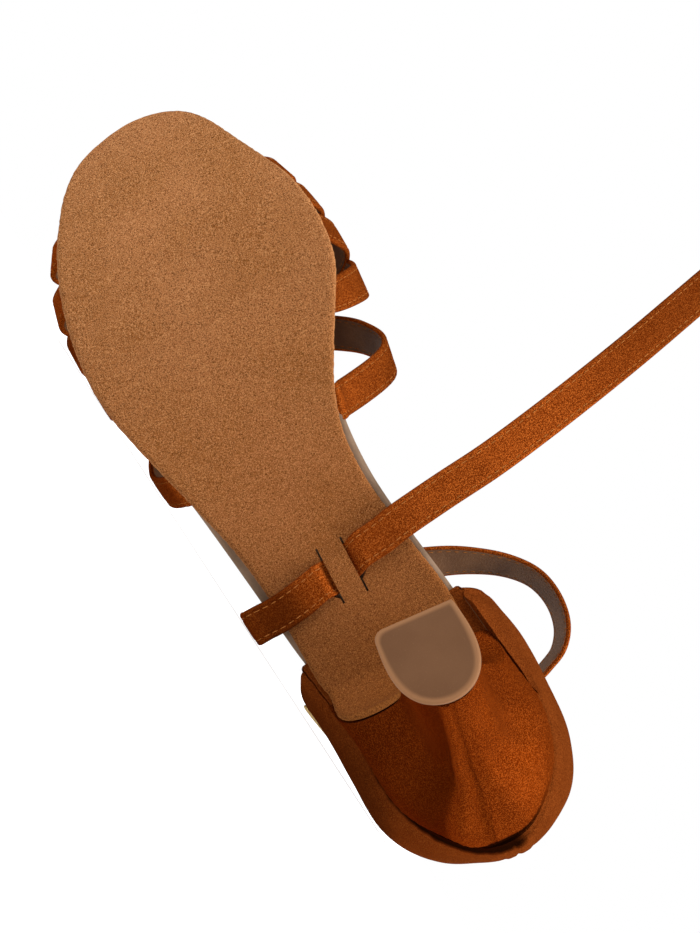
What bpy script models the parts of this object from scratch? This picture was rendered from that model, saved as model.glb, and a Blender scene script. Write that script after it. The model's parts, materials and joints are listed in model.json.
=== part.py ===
"""A woman's Latin dance sandal for the right foot, 2.5 inch flared heel, lying on its outer side.

Every piece is worked out in the shoe's own standing frame, in millimetres: X runs from the back of
the seat to the toe, Y towards the inner side of the foot, and Z up from the floor that the heel tip
and the ball of the sole share.  One empty then lays the finished shoe on its outer side.
"""
import math

import bmesh
import bpy
import numpy as np
from mathutils import Matrix, Vector

MM = 0.001

# Driving sizes, millimetres.
GAP = 0.3                # between two pieces that meet
SUEDE = 2.0              # outsole thickness
BOARD = 4.0              # insole board with its padded sock
WALL = 1.8               # satin, stiffener and lining of the heel counter
STRAP_WIDTH = 10.0
STRAP_THICK = 1.6
TIP_HEIGHT = 5.6
LIP_X = 55.0             # where the heel's front lip ends under the waist
KEEPER_X = 82.4          # middle of the keeper cut in the waist of the sole
KEEPER_Y = -5.9
KEEPER_LENGTH = 16.4     # each slit, along the shoe
BRIDGE = 6.6             # width of the suede bridge between the slits
SLIT = 2.9               # opened width of a slit
KEEPER_SQUARE = 9.0      # the strap lies square to the slits this far each side of the bridge's middle
SQUARE_FADE = 6.0        # and turns back to its own course over this much more
STRAP_END = 6.0          # reach of the rounding at the ankle strap's free end

# How the shoe lies: slopes of the floor across its outer side, along the foot and up from the sole.
LIE_ALONG = 0.120
LIE_UP = 0.020

# Underside of the insole along the middle of the shoe.
BED = [  # x, height
    (-4, 65.0), (8, 62.9), (20, 60.6), (32, 56.9), (45, 52.0), (60, 45.0), (75, 37.0), (90, 28.2),
    (105, 19.3), (120, 11.5), (134, 6.0), (147, 3.0), (155, 2.4), (160, 2.3), (166, 2.3), (172, 2.3),
    (178, 2.5), (190, 4.0), (206, 7.0), (224, 11.4),
]

# Outline of the suede outsole from the waist to the toe.
OUTSOLE = [  # x, inner edge, outer edge
    (62.0, 17.0, -25.6), (70, 16.4, -25.9), (80, 14.2, -26.3), (90, 12.4, -27.6), (100, 11.0, -29.8),
    (110, 11.4, -33.0), (120, 14.4, -36.3), (130, 19.7, -39.5), (140, 25.4, -42.1), (150, 30.4, -43.3),
    (160, 32.1, -43.1), (170, 31.9, -42.0), (180, 30.0, -40.0), (190, 26.1, -37.2), (200, 21.9, -33.1),
    (209, 18.2, -28.4), (215.4, 14.2, -23.2), (219.6, 9.2, -17.0), (222.0, 3.6, -10.4),
    (222.8, -0.6, -6.0),
]

# Outline of the insole: it shows past the suede at the waist and stays inside it at the forefoot.
INSOLE = [  # x, inner edge, outer edge
    (4.6, 3.4, -1.6), (5.6, 7.2, -5.2), (8.4, 11.6, -9.4), (13, 16.0, -13.9), (19, 19.9, -17.6),
    (26, 22.4, -20.3), (34, 23.2, -21.5), (45, 21.4, -22.2), (57, 19.6, -24.4), (70, 17.6, -27.1),
    (85, 14.8, -29.3), (100, 12.9, -31.6), (115, 13.7, -34.2), (128, 17.2, -37.0), (140, 23.2, -39.8),
    (150, 28.2, -41.0), (160, 29.9, -40.8), (170, 29.6, -39.7), (180, 27.7, -37.7), (190, 23.8, -34.8),
    (200, 19.6, -30.8), (209, 15.7, -26.0), (215, 11.6, -20.8), (218.8, 6.8, -15.0), (220.6, 1.8, -9.4),
    (221.2, -1.4, -6.2),
]

# Heel, row by row from the tip to the seat.
HEEL = [  # share of the height, front, back, middle, half width
    (0.00, 47.8, 24.6, 5.9, 11.7), (0.15, 45.4, 22.2, 5.5, 10.7), (0.32, 42.9, 19.0, 4.8, 10.4),
    (0.52, 41.6, 15.0, 4.0, 11.4), (0.64, 42.2, 11.6, 3.4, 13.8), (0.79, 45.2, 7.6, 2.4, 18.6),
    (0.91, 50.2, 4.4, 1.5, 22.2), (1.00, LIP_X, 2.8, 0.9, 23.8),
]
TIP_RAKE = 0.9           # the tip's back edge flares out by this much more than its sides
HEEL_TURN = 0.06         # the tip's front edge is turned this far, outer corner forward, radians
SEAT_EDGE = 2.0          # the heel's top edge stands out this far round the insole
FLAP_INSET = 0.6         # the suede on the breast stops this far inside the heel's corners
FLAP_REACH = 16.0        # inner edge of the suede where it goes over the breast of the heel

# Heel counter: how far it stands out at mid height and at its top line, and how high it rises.
COUNTER = [  # x, rise, bulge outer side, bulge inner side, top outer side, top inner side
    (4.2, 35, -2.8, -2.6, -10.8, -10.8), (9, 35, -0.9, -0.8, -7.8, -7.8), (17, 36, 2.8, 1.4, -1.8, -2.8),
    (30, 39.5, 6.8, 2.8, 3.0, 1.0), (36, 41.5, 7.1, 3.8, 3.6, 2.4), (41, 42.5, 7.0, 4.8, 3.8, 3.4),
    (44.5, 41.0, 6.8, 5.4, 3.8, 4.2), (47.5, 37.0, 6.4, 5.8, 3.8, 5.0), (50.5, 33.0, 5.8, 6.0, 4.0, 5.6),
    (55, 30.5, 5.0, 6.0, 4.2, 6.4), (59, 27.5, 4.4, 5.4, 4.4, 6.6), (63, 24, 3.6, 4.4, 4.4, 6.2),
    (67, 18, 2.4, 3.2, 4.0, 5.4),
]
COUNTER_FRONT = 67.0
COUNTER_FOOT = 0.55      # lower edge of the wall's inside over the bed

# The foot that the straps are shaped over.
FOOT = [  # x, outer side, inner side, height over the insole
    (100, 37.0, 24.5, 69), (120, 39.4, 28.4, 58), (135, 41.2, 32.0, 50), (150, 43.0, 34.0, 43),
    (165, 44.8, 34.4, 36), (180, 44.8, 32.4, 29.5), (195, 41.0, 28.0, 23.5), (212, 32.0, 19.5, 17),
]

# Knots of a strap's course over one half of the form: tucked end, under the edge, round it, above it,
# widest line, shoulder, instep and middle.
GIRTH = np.array([0.0, 7.4, 9.9, 12.6, 22.0, 34.0, 47.0, 66.0])
TUCK = 8.8               # reach of a strap's foot under the insole
TUCK_RISE = 0.95         # middle of that foot over the bed

# Vamp straps: where each foot comes out, how its course bends, and how high it lies in the lattice.
STRAPS = [  # name, x at the outer side, x at the inner side, bend, lift
    ("back_outer", 118.0, 178.5, 2.4, 0.75), ("back_inner", 183.5, 119.5, 2.4, 0.0),
    ("ball", 169.0, 164.5, 1.0, 1.15), ("front_outer", 147.5, 191.5, 2.0, 1.55),
    ("front_inner", 199.5, 144.0, 2.0, 0.38),
]

# Ankle strap from the inner ear of the counter, over the footbed, round the waist, through the
# keeper and out to its free end, with the way that its satin face looks.
ANKLE_OVER = [  # x, y, z, face x, face y, face z
    (30.0, 21.4, 91.0, 0.1, 1, 0.1), (38.0, 22.2, 91.0, 0.02, 1, 0.08),
    (45.0, 22.4, 91.0, -0.1, 1, 0.05), (50.0, 25.0, 91.0, -0.7, 0.75, 0),
    (52.4, 30.2, 91.0, -0.92, 0.4, 0), (55.4, 36.2, 90.6, -0.75, 0.68, 0),
    (61.0, 40.2, 89.8, -0.35, 0.95, 0), (68.6, 41.6, 88.4, 0.05, 1, 0),
    (76.0, 39.8, 86.6, 0.5, 0.86, 0.05), (81.8, 34.8, 84.0, 0.8, 0.55, 0.15),
    (86.2, 27.6, 80.6, 0.9, 0.25, 0.3), (89.6, 18.0, 76.0, 0.8, 0.05, 0.55),
    (91.8, 4.0, 70.0, 0.55, 0.0, 0.82), (92.2, -11.0, 64.8, 0.3, -0.1, 0.93),
    (90.6, -24.0, 59.0, 0.1, -0.5, 0.85), (87.0, -33.0, 51.4, -0.1, -0.93, 0.36),
    (83.2, -35.3, 42.5, -0.12, -1, -0.01), (80.0, -34.8, 34.0, -0.12, -1, -0.02),
    (78.4, -34.45, 29.0, -0.16, -0.95, -0.2), (78.0, -31.6, 26.8, -0.45, -0.1, -0.88),
]
ANKLE_UNDER = [  # x, y, depth of its middle below the insole
    (78.6, -26.0, 3.75), (79.5, -19.0, 3.7), (80.4, -14.4, 3.7), (80.8, -12.4, 3.65), (81.5, -9.1, 1.6),
    (82.3, -5.8, 1.25), (82.8, -2.6, 1.6), (83.2, 0.7, 3.65), (83.5, 2.7, 3.7), (84.0, 8.0, 3.7),
    (84.9, 14.0, 3.8),
]
ANKLE_FREE = [  # x, y, z, face x, face y, face z
    (87.6, 28.0, 28.9, -0.48, 0.03, -0.88), (90.6, 43.0, 31.8, -0.46, 0.0, -0.89),
    (95.6, 60.0, 36.4, -0.45, -0.02, -0.89), (101.6, 77.0, 42.2, -0.44, -0.03, -0.9),
    (108.2, 93.5, 48.8, -0.43, -0.04, -0.9), (114.8, 108.5, 55.4, -0.43, -0.05, -0.9),
    (120.6, 121.5, 61.2, -0.43, -0.06, -0.9), (125.6, 133.0, 66.4, -0.43, -0.06, -0.9),
]

# The keeper's bridge of suede, from its heel end to its toe end.
BRIDGE_COURSE = [  # distance past the end of the slits, depth of its middle below the insole
    (-3.0, 1.25), (-0.6, 2.1), (2.8, 3.75), (KEEPER_LENGTH / 2, 3.85), (KEEPER_LENGTH - 2.8, 3.75),
    (KEEPER_LENGTH + 0.6, 2.1), (KEEPER_LENGTH + 3.0, 1.25),
]

# Suede on the breast of the heel, from the tip up to the lip.
BREAST_SHARES = np.array([0.035, 0.15, 0.3, 0.44, 0.55, 0.64, 0.73, 0.82, 0.90])
LIP = (56.4, 16.2, -24.5)    # x, inner edge, outer edge where the suede turns round the lip
LIP_DROP = 0.55              # the suede hangs this much lower there

# Buckle at the outer ear: tab, wire frame and prong on one bar.
TAB = [(44.0, -24.6, 92.0), (50.0, -24.8, 92.0), (56.0, -26.2, 92.0), (60.0, -28.4, 92.0)]
TAB_THICK = 2.0
TAB_EYE = 2.6            # outer radius of the fold round the bar
BUCKLE_BAR = (65.0, -30.6, 92.0)
BUCKLE_FORWARD = (0.97, -0.22, 0.0)
BUCKLE_OUT = (-0.22, -0.97, 0.0)
BAR = 1.9                # wire of the frame
PRONG = 1.4              # wire of the prong
FRAME_WIDTH = 13.2
FRAME_DEPTH = 10.0
FRAME_CORNER = 1.6       # radius of the frame's corners
PRONG_OVER = 1.6         # the prong reaches this far past the frame's outer wire
PRONG_FOOT = 1.2         # its straight part starts this far from the bar
SLOT_BACK = 2.8          # the prong's slot runs this much further back into the tab


def smooth(knots, values, at):
    """Smooth curve through the values at the knots, read at any places.

    Between two knots it is a cubic whose slope at each knot is the mean of the spans beside it.
    """
    knots = np.asarray(knots, float)
    values = np.asarray(values, float)
    at = np.asarray(at, float)
    wide = values.reshape(len(knots), -1)
    spans = np.diff(wide, axis=0) / np.diff(knots)[:, None]
    slopes = np.concatenate([spans[:1], (spans[1:] + spans[:-1]) / 2, spans[-1:]])
    k = np.clip(np.searchsorted(knots, at, side="right") - 1, 0, len(knots) - 2)
    step = (knots[k + 1] - knots[k])[:, None]
    t = (at - knots[k])[:, None] / step
    curve = ((2 * t**3 - 3 * t**2 + 1) * wide[k] + (t**3 - 2 * t**2 + t) * step * slopes[k]
             + (3 * t**2 - 2 * t**3) * wide[k + 1] + (t**3 - t**2) * step * slopes[k + 1])
    return curve.reshape((len(at),) + values.shape[1:])


def along_rows(rows, per_row):
    """Smooth rows between the rows of a table, so many to each of its steps."""
    rows = np.asarray(rows, float)
    steps = np.linspace(0, len(rows) - 1, (len(rows) - 1) * per_row + 1)
    return smooth(np.arange(len(rows)), rows, steps)


def column(table, index):
    """One column of a table as an array."""
    return np.array([row[index] for row in table], float)


def bed(x):
    """Height of the insole's underside at x."""
    return smooth(column(BED, 0), column(BED, 1), np.ravel(x)).reshape(np.shape(x))


def bed_slope(x):
    """Rise of the bed for one millimetre towards the toe."""
    return (bed(np.asarray(x) + 0.5) - bed(np.asarray(x) - 0.5)) / 1.0


def below_bed(x, depth):
    """Height of a layer that lies a square distance under the bed."""
    return bed(x) - depth * np.hypot(1, bed_slope(x))


def unit(vectors):
    """Vectors at length one."""
    return vectors / np.linalg.norm(vectors, axis=-1, keepdims=True)


def direction_along(points):
    """Direction of a path at each of its points."""
    return unit(np.gradient(points, axis=0))


def paint(name, rgb, roughness, metallic=0.0):
    """A plain finish."""
    material = bpy.data.materials.new(name)
    material.use_nodes = True
    shader = material.node_tree.nodes["Principled BSDF"]
    shader.inputs["Base Color"].default_value = (*rgb, 1)
    shader.inputs["Roughness"].default_value = roughness
    shader.inputs["Metallic"].default_value = metallic
    return material


def add_object(name, mesh, material, collection, parent):
    """Put a mesh in the shoe."""
    thing = bpy.data.objects.new(name, mesh)
    mesh.materials.append(material)
    collection.objects.link(thing)
    thing.parent = parent
    return thing


def outward(mesh):
    """Turn all faces of a closed mesh outwards."""
    work = bmesh.new()
    work.from_mesh(mesh)
    bmesh.ops.recalc_face_normals(work, faces=work.faces)
    work.to_mesh(mesh)
    work.free()


def grid_mesh(name, grid):
    """Mesh of quads over a grid of points, rows by columns, given in millimetres."""
    rows, columns = grid.shape[:2]
    first = (np.arange(rows - 1)[:, None] * columns + np.arange(columns - 1)).ravel()
    quads = np.stack([first, first + 1, first + columns + 1, first + columns], axis=1)
    mesh = bpy.data.meshes.new(name)
    mesh.from_pydata((grid.reshape(-1, 3) * MM).tolist(), [], quads.tolist())
    return mesh


def layer(name, grid, thickness, side, material, collection, parent):
    """A sheet with a thickness: side 1 thickens it along its normals, -1 against them, 0 both."""
    thing = add_object(name, grid_mesh(name, grid), material, collection, parent)
    solid = thing.modifiers.new("thickness", "SOLIDIFY")
    solid.thickness = thickness * MM
    solid.offset = side
    return thing


def ring_loft(name, rings, ladder, material, collection, parent):
    """Closed loft through rings of equal counts; each end is closed by rungs across the ring."""
    count = rings.shape[1]
    last = (len(rings) - 1) * count
    quads = []
    for row in range(len(rings) - 1):
        for k in range(count):
            near = row * count
            after = (k + 1) % count
            quads.append((near + k, near + after, near + count + after, near + count + k))
    for base in (0, last):
        for k in range(ladder):
            opposite = count - 1 - k
            quads.append((base + k, base + k + 1, base + opposite - 1, base + opposite))
    mesh = bpy.data.meshes.new(name)
    mesh.from_pydata((rings.reshape(-1, 3) * MM).tolist(), [], quads)
    outward(mesh)
    return add_object(name, mesh, material, collection, parent)


def ribbon_grid(centre, across, width, columns=2):
    """A band's middle surface: its centre line spread sideways."""
    spread = np.linspace(-0.5, 0.5, columns)
    wide = np.broadcast_to(width, len(centre))[:, None, None]
    return centre[:, None, :] + across[:, None, :] * wide * spread[None, :, None]


def cut_with(target, cutter, name):
    """Subtract a cutter and leave it as a wire guide."""
    change = target.modifiers.new(name, "BOOLEAN")
    change.operation = "DIFFERENCE"
    change.object = cutter
    guide(cutter)


def join_with(target, other, name, solver="EXACT"):
    """Join another solid into the target."""
    change = target.modifiers.new(name, "BOOLEAN")
    change.operation = "UNION"
    change.object = other
    change.solver = solver
    guide(other)


def guide(thing):
    """Mark an object as a guide that is no part of the shoe."""
    thing.hide_render = True
    thing.display_type = "WIRE"


# Sole, insole and heel

def heel_row(share):
    """Heel sizes at a share of its height: front, back, middle and half width."""
    table = np.array(HEEL)
    return smooth(table[:, 0], table[:, 1:], np.ravel(share))


def heel_height(share, x):
    """Height of a heel section at x: sections fan out from the level tip to the sloping seat."""
    top = below_bed(x, GAP)
    return TIP_HEIGHT + GAP + share * (top - TIP_HEIGHT - GAP)


def seat_edges(depth):
    """Outer and inner edge of the seat, a little outside the insole, from the lip to the round back."""
    rows = along_rows(INSOLE, 4)
    rows = rows[rows[:, 0] <= LIP_X + 4]
    sides = []
    for index, sign in ((2, 1), (1, -1)):
        edge = rows[:, [0, index]]
        way = direction_along(edge)
        edge = edge + sign * SEAT_EDGE * np.stack([way[:, 1], -way[:, 0]], axis=1)
        x = LIP_X + (edge[0, 0] - LIP_X) * depth
        sides.append(np.interp(x, edge[:, 0], edge[:, 1]))
    return sides


def seat_share(share):
    """How much of the seat's outline a section has taken on at a share of the height."""
    blend = np.clip((np.asarray(share) - 0.55) / 0.45, 0, 1)
    return blend * blend * (3 - 2 * blend)


def heel_ring(share, height_of, rungs=13):
    """D-shaped section that takes on the outline of the seat towards the top."""
    front, back, middle, half = heel_row(share)[0]
    turn = np.linspace(0, 1, rungs)
    depth = np.sin(turn * math.pi / 2) ** 1.25
    depth[-1] = 0.995
    squareness = 4.0 - 1.5 * share
    wide = np.sqrt(1 - depth**squareness) * (1 - 0.10 * (1 - share) * (1 - depth) ** 3)
    x = front + (back - front) * depth
    turned = HEEL_TURN * (1 - share) * half * wide
    outer = np.stack([x + turned, middle - half * wide], axis=1)
    inner = np.stack([x - turned, middle + half * wide], axis=1)
    seat_outer, seat_inner = seat_edges(depth)
    outer[:, 1] += seat_share(share) * (seat_outer - outer[:, 1])
    inner[:, 1] += seat_share(share) * (seat_inner - inner[:, 1])
    plan = np.concatenate([outer, inner[::-1]])
    return np.column_stack([plan, height_of(plan[:, 0])])


def build_heel(finish, collection, parent):
    """Loft of D sections from the tip up to the seat."""
    shares = np.concatenate([np.linspace(0, 0.45, 5), np.linspace(0.54, 1.0, 9)])
    rings = np.array([
        heel_ring(share, lambda x, share=share: heel_height(share, x)) for share in shares])
    return ring_loft("heel", rings, rings.shape[1] // 2 - 1, finish, collection, parent)


def build_heel_tip(finish, collection, parent):
    """Top piece under the heel: the same D flaring downwards, with its lower edge rounded off."""
    rings = []
    for height, inset in ((TIP_HEIGHT, 0.1), (1.0, -0.75), (0.3, -0.55), (0.0, 0.1)):
        ring = heel_ring(0.0, lambda x, height=height: np.full(np.shape(x), height))
        middle = ring[:, :2].mean(axis=0)
        reach = np.linalg.norm(ring[:, :2] - middle, axis=1, keepdims=True)
        ring[:, :2] = middle + (ring[:, :2] - middle) * (1 - inset / reach)
        front, back = ring[:, 0].max(), ring[:, 0].min()
        ring[:, 0] -= TIP_RAKE * (1 - height / TIP_HEIGHT) * (front - ring[:, 0]) / (front - back)
        rings.append(ring)
    rings = np.array(rings)
    return ring_loft("heel_tip", rings, rings.shape[1] // 2 - 1, finish, collection, parent)


def outsole_rows():
    """Outsole stations: up the breast of the heel, round its lip, and on to the toe."""
    front = heel_row(BREAST_SHARES)[:, 0]
    height = heel_height(BREAST_SHARES, front)
    edge = np.stack([front, height], axis=1)
    way = direction_along(edge)
    front = front + way[:, 1] * 2.5 * GAP
    height = height - way[:, 0] * 2.5 * GAP
    corners = np.array([heel_ring(share, lambda x: x)[[0, -1], 1] for share in BREAST_SHARES])
    inner = np.minimum(corners[:, 1] - FLAP_INSET, FLAP_REACH - 0.5)
    breast = np.stack([front, inner, corners[:, 0] + FLAP_INSET, height], axis=1)
    lip = np.array([[*LIP, below_bed(LIP[0], GAP + LIP_DROP)]])
    rest = np.array(OUTSOLE)
    rest = np.column_stack([rest, below_bed(rest[:, 0], GAP)])
    return np.concatenate([breast, lip, rest])


def rung_grid(rows, columns):
    """Surface of straight rungs from the inner edge to the outer edge of each row."""
    share = np.linspace(0, 1, columns)
    x, inner, outer, height = (rows[:, k:k + 1] for k in range(4))
    wide = np.ones((1, columns))
    return np.stack([x * wide, inner + (outer - inner) * share, height * wide], axis=2)


def build_outsole(finish, collection, cutters, parent):
    """Suede outsole with its keeper: a window, and a bridge of suede raised across it."""
    rows = along_rows(outsole_rows(), 2)
    under_foot = rows[:, 0] >= OUTSOLE[0][0]
    rows[under_foot, 3] = below_bed(rows[under_foot, 0], GAP)
    sole = layer("outsole", rung_grid(rows, 6), SUEDE, -1, finish, collection, parent)
    slope = math.atan(float(bed_slope(KEEPER_X)))
    window = bpy.data.meshes.new("keeper_window")
    work = bmesh.new()
    bmesh.ops.create_cube(work, size=1.0)
    sizes = Vector((KEEPER_LENGTH, BRIDGE + 2 * SLIT, 6 * SUEDE)) * MM
    bmesh.ops.scale(work, vec=sizes, verts=work.verts)
    middle = Vector((KEEPER_X, KEEPER_Y, float(below_bed(KEEPER_X, SUEDE)))) * MM
    place = Matrix.Translation(middle) @ Matrix.Rotation(-slope, 4, "Y")
    bmesh.ops.transform(work, matrix=place, verts=work.verts)
    work.to_mesh(window)
    work.free()
    cut_with(sole, add_object("keeper_window", window, finish, cutters, parent), "keeper window")
    course = along_rows(BRIDGE_COURSE, 3)
    x = KEEPER_X - KEEPER_LENGTH / 2 + course[:, 0]
    centre = np.stack([x, np.full_like(x, KEEPER_Y), below_bed(x, course[:, 1])], axis=1)
    side = np.tile([0.0, 1.0, 0.0], (len(x), 1))
    ribbon = ribbon_grid(centre, side, BRIDGE)
    bridge = layer("keeper_bridge", ribbon, SUEDE - GAP, 0, finish, cutters, parent)
    join_with(sole, bridge, "keeper bridge")
    return sole


def build_insole(finish, collection, parent):
    """Insole board with its sock, one thickness over the bed."""
    rows = along_rows(INSOLE, 2)
    rows = np.column_stack([rows, bed(rows[:, 0])])
    return layer("insole", rung_grid(rows, 6), BOARD, 1, finish, collection, parent)


# Upper: counter and straps

def build_counter(finish, collection, parent):
    """U-shaped wall round the seat: it bulges at mid height and closes in at the top line."""
    rows = along_rows(INSOLE, 4)
    rows = rows[rows[:, 0] <= COUNTER_FRONT]
    plan = np.concatenate([rows[::-1, [0, 2]], rows[:, [0, 1]]])
    way = direction_along(plan)
    out = np.stack([way[:, 1], -way[:, 0]], axis=1)
    middle = np.array([40.0, 0.0])
    out *= np.sign(np.sum(out * (plan - middle), axis=1, keepdims=True))
    plan = plan + out * GAP
    table = np.array(COUNTER)
    here = np.clip(plan[:, 0], table[0, 0], table[-1, 0])
    rise, bulge_outer, bulge_inner, top_outer, top_inner = smooth(table[:, 0], table[:, 1:], here).T
    inner_side = plan[:, 1] > 1.0
    bulge = np.where(inner_side, bulge_inner, bulge_outer)
    top = np.where(inner_side, top_inner, top_outer)
    share = np.array([[0.0, 0.08, 0.17, 0.3, 0.45, 0.6, 0.75, 0.88, 1.0]])
    stand = top[:, None] * share + 4 * (bulge - top / 2)[:, None] * share * (1 - share)
    stand *= np.clip(share / 0.17, 0, 1)
    grid = np.empty((len(plan), share.shape[1], 3))
    grid[:, :, 0] = plan[:, :1] + out[:, :1] * stand
    grid[:, :, 1] = plan[:, 1:] + out[:, 1:] * stand
    grid[:, :, 2] = bed(plan[:, 0])[:, None] + COUNTER_FOOT + rise[:, None] * share
    return layer("heel_counter", grid, WALL, 1, finish, collection, parent)


def edges_of_insole(x):
    """Inner and outer edge of the insole at x, forward of the seat's round back."""
    table = np.array(INSOLE)[4:]
    return smooth(table[:, 0], table[:, 1:], np.ravel(x)).T


def form_point(x, girth):
    """Point on the strap surface: x along the shoe, girth from the tucked outer end to the inner.

    Each cross-section is a smooth curve: tucked under the insole's edge, round the edge, out to the
    foot's widest line, over the instep, and down the other side in the same way.
    """
    inner_edge, outer_edge = edges_of_insole(x)
    foot = np.array(FOOT)
    outer, inner, height = smooth(foot[:, 0], foot[:, 1:], x).T
    base = bed(x)
    middle = (inner - outer) / 2

    def half(edge, widest, side):
        reach = widest - middle
        return [
            (edge - side * TUCK, base + TUCK_RISE), (edge - side * 1.5, base + TUCK_RISE),
            (edge + side * 0.75, base + 1.6), (edge + side * 1.35, base + 4.2),
            (widest, base + BOARD + 0.36 * height), (middle + 0.86 * reach, base + BOARD + 0.70 * height),
            (middle + 0.50 * reach, base + BOARD + 0.94 * height)]

    top = (middle, base + BOARD + height)
    rows = half(outer_edge, -outer, -1) + [top] + half(inner_edge, inner, 1)[::-1]
    knots = np.concatenate([GIRTH, GIRTH[-1] + np.cumsum(np.diff(GIRTH)[::-1])])
    rows = np.array(rows).transpose(0, 2, 1)
    pick = np.arange(len(x))
    return np.column_stack([x, smooth(knots, rows, girth)[pick, pick]])


def strap_course(outer_x, inner_x, bend, girth):
    """X along a vamp strap: it runs fastest beside the foot that stands further back."""
    share = np.clip((girth - GIRTH[3]) / (2 * GIRTH[-1] - 2 * GIRTH[3]), 0, 1)
    share = 1 - (1 - share) ** bend if outer_x < inner_x else share**bend
    return outer_x + (inner_x - outer_x) * share


def vamp_strap(name, row, finish, collection, parent):
    """One strap over the form, lifted to its level in the lattice between its two sides."""
    _, outer_x, inner_x, bend, lift = row
    foot = np.linspace(GIRTH[1] - 0.6, GIRTH[3], 7)
    side = np.linspace(15.5, 60.5, 12)
    half = np.concatenate([GIRTH[:2] * 0.5, foot, side])
    girth = np.concatenate([half, [GIRTH[-1]], 2 * GIRTH[-1] - half[::-1]])
    x = strap_course(outer_x, inner_x, bend, girth)
    centre = form_point(x, girth)
    along_form = unit(form_point(x + 1.0, girth) - form_point(x - 1.0, girth))
    way = direction_along(centre)
    from_side = np.minimum(girth, 2 * GIRTH[-1] - girth)
    squared = np.clip((from_side - GIRTH[3]) / 9.0, 0, 1)[:, None]
    across = unit(along_form - squared * way * np.sum(along_form * way, axis=1, keepdims=True))
    face = unit(np.cross(across, way))
    rise = lift * np.clip((from_side - GIRTH[4]) / 14.0, 0, 1)
    ribbon = ribbon_grid(centre - face * rise[:, None], across, STRAP_WIDTH)
    return layer(name, ribbon, STRAP_THICK, 0, finish, collection, parent)


def pocket(name, middle_x, side, finish, cutters, parent):
    """Cutter for a strap's foot in the insole's edge: a slot under the board with an eased mouth."""
    half = STRAP_WIDTH / 2 + GAP
    ceiling = TUCK_RISE + STRAP_THICK / 2 + GAP
    rings = []
    for x in (middle_x - half, middle_x, middle_x + half):
        inner_edge, outer_edge = edges_of_insole(x)[:, 0]
        edge = inner_edge if side > 0 else outer_edge
        inside = -TUCK - GAP - 0.2
        outline = (
            (0.6, 3.6), (-1.7, ceiling), (inside, ceiling), (inside, -1.5), (-1.7, -1.5), (3.0, -1.5))
        rings.append([(x, edge + side * reach, float(bed(x)) + height) for reach, height in outline])
    return ring_loft(name, np.array(rings), 2, finish, cutters, parent)


def build_vamp_straps(finish, insole, collection, cutters, parent):
    """Five straps joined where they cross, and the pockets for their feet in the insole's edge."""
    first = vamp_strap("vamp_straps", STRAPS[0], finish, collection, parent)
    for row in STRAPS[1:]:
        join_with(first, vamp_strap("strap_" + row[0], row, finish, cutters, parent), row[0], "MANIFOLD")
    for name, outer_x, inner_x, _, _ in STRAPS:
        for edge, x, side in (("outer", outer_x, -1), ("inner", inner_x, 1)):
            cutter = pocket("pocket_" + edge + "_" + name, x, side, finish, cutters, parent)
            cut_with(insole, cutter, name + " " + edge + " foot")
    return first


def ankle_path():
    """Centre line and face direction of the ankle strap, smooth through its rows."""
    under = np.array(ANKLE_UNDER)
    slope = bed_slope(under[:, 0])
    face = unit(np.stack([slope, np.zeros(len(under)), -np.ones(len(under))], axis=1))
    under = np.column_stack([under[:, :2], below_bed(under[:, 0], under[:, 2]), face])
    return along_rows(np.concatenate([np.array(ANKLE_OVER), under, np.array(ANKLE_FREE)]), 3)


def build_ankle_strap(finish, collection, parent):
    """Long flat strap with a rounded free end."""
    rows = ankle_path()
    centre = rows[:, :3]
    way = direction_along(centre)
    beside = np.where(centre[:, 2] < bed(centre[:, 0]), np.abs(centre[:, 1] - KEEPER_Y), np.inf)
    square = np.clip((KEEPER_SQUARE + SQUARE_FADE - beside) / SQUARE_FADE, 0, 1)[:, None]
    along_slits = unit(np.column_stack([np.ones(len(way)), np.zeros(len(way)), bed_slope(centre[:, 0])]))
    across = unit(np.cross(rows[:, 3:], way))
    across = unit(across + square * (along_slits - across))
    left = np.linalg.norm(centre - centre[-1], axis=1)
    width = STRAP_WIDTH * np.sqrt(1 - (1 - np.clip(left / STRAP_END, 0.04, 1)) ** 2)
    ribbon = ribbon_grid(centre, across, width)
    return layer("ankle_strap", ribbon, STRAP_THICK, 0, finish, collection, parent)


def buckle_axes():
    """Forward, outwards and the bar's own axis, all square to each other."""
    forward = unit(np.array(BUCKLE_FORWARD))
    axis = unit(np.cross(forward, np.array(BUCKLE_OUT)))
    return forward, np.cross(axis, forward), axis


def rod(name, path, flat, radius, closed, finish, collection, parent, sides=10):
    """Round wire along a path that lies in one plane; flat is the square direction of that plane."""
    if closed:
        way = unit(np.roll(path, -1, axis=0) - np.roll(path, 1, axis=0))
    else:
        way = direction_along(path)
    beside = unit(np.cross(way, flat))
    turn = 2 * np.pi * np.arange(sides) / sides
    rings = path[:, None, :] + radius * (np.cos(turn)[None, :, None] * beside[:, None, :]
                                         + np.sin(turn)[None, :, None] * np.asarray(flat)[None, None, :])
    if not closed:
        return ring_loft(name, rings, sides // 2 - 1, finish, collection, parent)
    count = len(rings) * sides
    k = np.arange(count)
    after = k - k % sides + (k + 1) % sides
    quads = np.stack([k, after, (after + sides) % count, (k + sides) % count], axis=1)
    mesh = bpy.data.meshes.new(name)
    mesh.from_pydata((rings.reshape(-1, 3) * MM).tolist(), [], quads.tolist())
    outward(mesh)
    return add_object(name, mesh, finish, collection, parent)


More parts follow.
